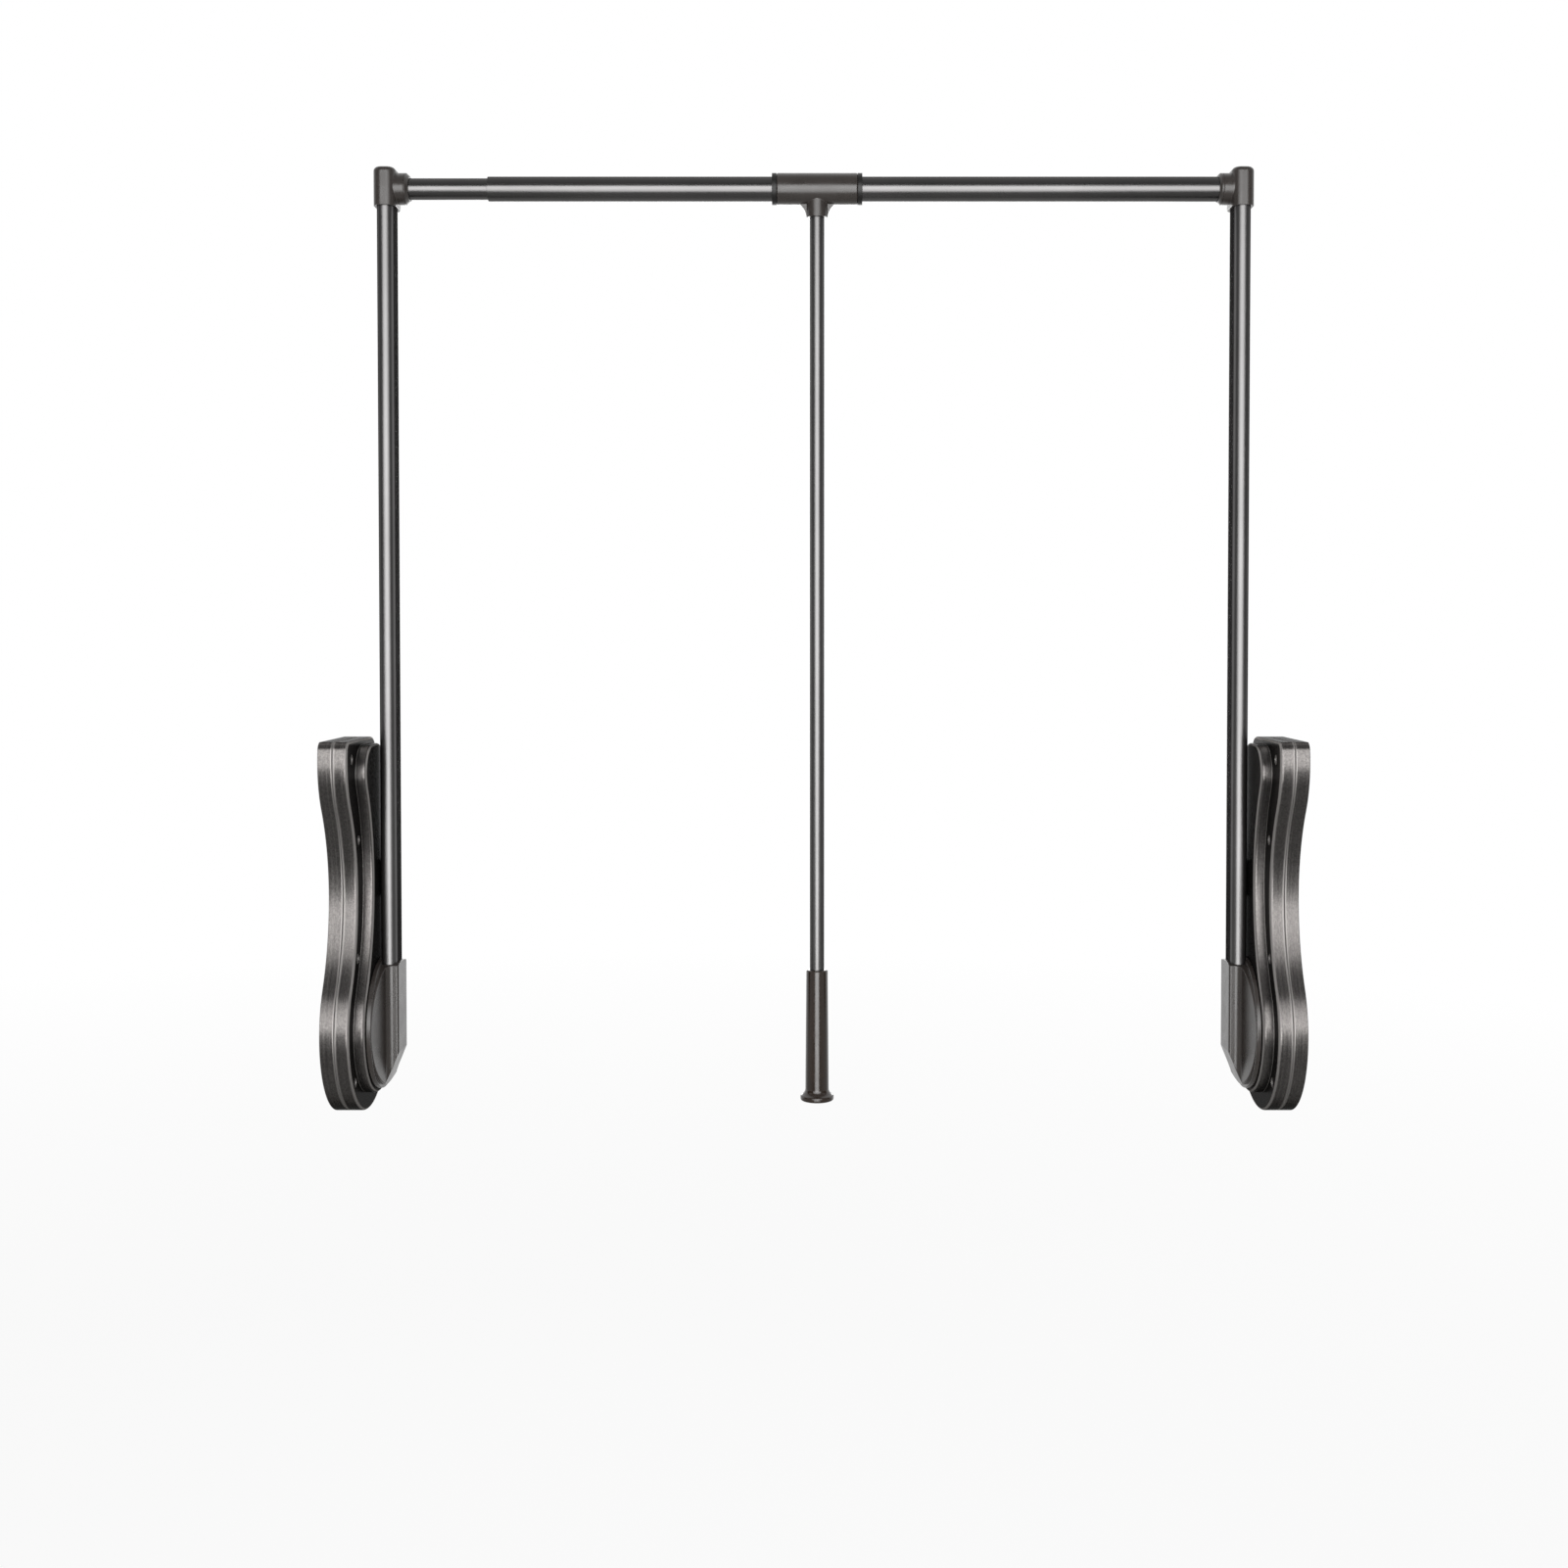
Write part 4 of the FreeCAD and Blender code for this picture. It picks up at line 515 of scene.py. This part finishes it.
def coil_spring(side):
    """The return spring as wound wire with closed ends, in the sleeve of room that the CAD keeps for it."""
    wire = 1.15 * MM
    active, closed = 15, 1.25
    steps_per_turn, wire_sides = 24, 10
    # Closed turns lie just clear of each other
    closed_pitch = 2.1 * wire
    low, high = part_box(side + "_return_spring")
    middle = (low + high) / 2
    radius = (high.x - low.x) / 2 - wire
    bottom, top = low.z + wire, high.z - wire
    pad = closed_pitch * closed
    total = active + 2 * closed
    count = round(total * steps_per_turn)
    mesh = bmesh.new()
    rings = []
    for step in range(count + 1):
        turn = total * step / count
        if turn < closed:
            height = bottom + pad * turn / closed
        elif turn > total - closed:
            height = top - pad * (total - turn) / closed
        else:
            height = bottom + pad + (top - bottom - 2 * pad) * (turn - closed) / active
        angle = 2 * math.pi * turn
        outward = Vector((math.cos(angle), math.sin(angle), 0))
        spot = Vector((middle.x, middle.y, height)) + radius * outward
        ring = []
        for k in range(wire_sides):
            lean = 2 * math.pi * k / wire_sides
            skin = math.cos(lean) * outward + Vector((0, 0, math.sin(lean)))
            ring.append(mesh.verts.new(spot + wire * skin))
        rings.append(ring)
    close_rings(mesh, rings)
    mesh.faces.new(rings[0][::-1])
    mesh.faces.new(rings[-1])
    spring = new_piece(side + "_wound_spring", mesh, plated_steel)
    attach(spring, side + "_housing")
    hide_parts(side + "_return_spring")
    # The rack pushes it up against the anchor as the arm comes down
    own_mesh(spring)


for side in SIDES:
    case_screws(side)
    coil_spring(side)


def soft_box(name, spot, turn, width, height, radiance):
    """A soft box with a grid of slats that dims it towards its sides, turned about the upright from facing
    the back. Its power follows from how bright its face is straight on."""
    grid_fan = math.radians(50)
    lamp = bpy.data.lights.new(name, "AREA")
    lamp.shape = "RECTANGLE"
    lamp.size = width
    lamp.size_y = height
    lamp.spread = 2 * grid_fan
    lamp.energy = math.pi * width * height * radiance * (1 - grid_fan / math.tan(grid_fan))
    holder = bpy.data.objects.new(name, lamp)
    holder.location = spot
    holder.rotation_euler = (math.radians(90), 0, math.radians(turn))
    holder.visible_camera = False
    bpy.context.scene.collection.objects.link(holder)


def seen_as_white(tree, mirrored):
    """One for what the camera or glass sees, and the share that is handed in for what metal mirrors."""
    path = add_node(tree, "ShaderNodeLightPath")
    reflected = add_node(tree, "ShaderNodeMath", {"operation": "MULTIPLY"}, {
        0: path.outputs["Is Glossy Ray"], 1: mirrored})
    looked_at = add_node(tree, "ShaderNodeMath", {"operation": "MAXIMUM"}, {
        0: path.outputs["Is Camera Ray"], 1: path.outputs["Is Transmission Ray"]})
    either = add_node(tree, "ShaderNodeMath", {"operation": "MAXIMUM"}, {
        0: reflected.outputs["Value"], 1: looked_at.outputs["Value"]})
    return either.outputs["Value"]


def white_room():
    """Surroundings that look white, and that metal mirrors as white behind the lift, pale overhead and high
    up at the sides, and dim where the lamps stand. As a light they are dim all round."""
    dim = 0.12
    world = bpy.data.worlds.new("white_room")
    bpy.context.scene.world = world
    world.use_nodes = True
    tree = world.node_tree
    tree.nodes.clear()
    direction = add_node(tree, "ShaderNodeTexCoord")
    # A direction has length one, so these run from minus one to one
    towards = add_node(tree, "ShaderNodeSeparateXYZ", {}, {"Vector": direction.outputs["Generated"]})
    behind = add_node(tree, "ShaderNodeMapRange", {}, {
        "Value": towards.outputs["Y"], "From Min": -0.2, "From Max": 0.35, "To Min": 0.0, "To Max": 1.0})
    overhead = add_node(tree, "ShaderNodeMapRange", {}, {
        "Value": towards.outputs["Z"], "From Min": 0.55, "From Max": 0.95, "To Min": 0.0, "To Max": 0.26})
    sideways = add_node(tree, "ShaderNodeMath", {"operation": "ABSOLUTE"}, {0: towards.outputs["X"]})
    side_wall = add_node(tree, "ShaderNodeMapRange", {}, {
        "Value": sideways.outputs["Value"], "From Min": 0.55, "From Max": 0.8, "To Min": 0.0, "To Max": 0.6})
    high_up = add_node(tree, "ShaderNodeMapRange", {}, {
        "Value": towards.outputs["Z"], "From Min": 0.25, "From Max": 0.5, "To Min": 0.0, "To Max": 1.0})
    upper_wall = add_node(tree, "ShaderNodeMath", {"operation": "MULTIPLY"}, {
        0: side_wall.outputs["Result"], 1: high_up.outputs["Result"]})
    upper = add_node(tree, "ShaderNodeMath", {"operation": "MAXIMUM"}, {
        0: overhead.outputs["Result"], 1: upper_wall.outputs["Value"]})
    mirrored = add_node(tree, "ShaderNodeMath", {"operation": "MAXIMUM"}, {
        0: behind.outputs["Result"], 1: upper.outputs["Value"]})
    fill = add_node(tree, "ShaderNodeMapRange", {}, {
        "Value": seen_as_white(tree, mirrored.outputs["Value"]), "To Min": dim, "To Max": 1.0})
    light = add_node(tree, "ShaderNodeBackground", {}, {
        "Color": hex_colour("#ffffff"), "Strength": fill.outputs["Result"]})
    add_node(tree, "ShaderNodeOutputWorld", {}, {"Surface": light.outputs["Background"]})


def white_floor_paint():
    """Matt white studio paint: even and without gloss, and seen whiter the further it is, so that the floor
    meets the room without a line. Metal mirrors it white behind the lift and pale far out to the sides."""
    material, tree, place = new_finish("white_studio_floor")
    spot = add_node(tree, "ShaderNodeSeparateXYZ", {}, {"Vector": place})
    behind = add_node(tree, "ShaderNodeMapRange", {}, {
        "Value": spot.outputs["Y"], "From Min": 0.2, "From Max": 1.6, "To Min": 0.0, "To Max": 1.0})
    offset = add_node(tree, "ShaderNodeMath", {"operation": "SUBTRACT"}, {0: spot.outputs["X"], 1: middle_x})
    aside = add_node(tree, "ShaderNodeMath", {"operation": "ABSOLUTE"}, {0: offset.outputs["Value"]})
    beside = add_node(tree, "ShaderNodeMapRange", {}, {
        "Value": aside.outputs["Value"], "From Min": 1.4, "From Max": 2.2, "To Min": 0.0, "To Max": 0.45})
    mirrored = add_node(tree, "ShaderNodeMath", {"operation": "MAXIMUM"}, {
        0: behind.outputs["Result"], 1: beside.outputs["Result"]})
    far = add_node(tree, "ShaderNodeVectorMath", {"operation": "LENGTH"}, {0: place})
    blank = add_node(tree, "ShaderNodeMapRange", {}, {
        "Value": far.outputs["Value"], "From Min": 1.2, "From Max": 4.0, "To Min": 0.93, "To Max": 1.0})
    share = add_node(tree, "ShaderNodeMath", {"operation": "MULTIPLY"}, {
        0: seen_as_white(tree, mirrored.outputs["Value"]), 1: blank.outputs["Result"]})
    matt = add_node(tree, "ShaderNodeBsdfDiffuse", {}, {"Color": hex_colour("#e6e6e4")})
    white = add_node(tree, "ShaderNodeEmission", {}, {"Color": hex_colour("#ffffff"), "Strength": 1.0})
    shader = add_node(tree, "ShaderNodeMixShader", {}, {
        0: share.outputs["Value"], 1: matt.outputs["BSDF"], 2: white.outputs["Emission"]})
    add_node(tree, "ShaderNodeOutputMaterial", {}, {"Surface": shader.outputs["Shader"]})
    return material


# Studio: a large soft box behind the camera, a smaller one under it that lights the hanging grip, and one
# that lights the lift's back, in a white room
soft_box("front_soft_box", spot=(middle_x, -1.80, 0.65), turn=0, width=2.6, height=1.4, radiance=5.7)
soft_box("low_soft_box", spot=(middle_x, -1.80, -0.30), turn=0, width=1.3, height=0.5, radiance=7.0)
soft_box("back_soft_box", spot=(middle_x, 1.90, 0.55), turn=180, width=1.4, height=1.2, radiance=4.0)
white_room()

# Floor: wide, and well below the housings, because the lift hangs in a wardrobe
FLOOR_DROP = 0.62
FLOOR_REACH = 9.0
floor_mesh = bmesh.new()
bmesh.ops.create_grid(floor_mesh, x_segments=1, y_segments=1, size=FLOOR_REACH)
bmesh.ops.translate(floor_mesh, verts=floor_mesh.verts, vec=(middle_x, 0, -FLOOR_DROP))
floor_finish = white_floor_paint()
new_piece("studio_floor", floor_mesh, floor_finish)

# Camera: in front of the middle, at a little under half the arms' height, tipped down a little and shifted,
# because the lift isn't in the middle of the picture
CAMERA_AWAY = 1.704
CAMERA_HEIGHT = 0.360
CAMERA_TIP = 1.5
view = bpy.data.cameras.new("front_view")
view.sensor_width = 36.0
view.lens = 42.63
view.shift_x = -0.0190
view.shift_y = -0.0667
viewer = bpy.data.objects.new("front_view", view)
viewer.location = (middle_x, -CAMERA_AWAY, CAMERA_HEIGHT)
viewer.rotation_euler = (math.radians(90 - CAMERA_TIP), 0, 0)
bpy.context.scene.collection.objects.link(viewer)
bpy.context.scene.camera = viewer
bpy.context.scene.view_settings.view_transform = "Standard"
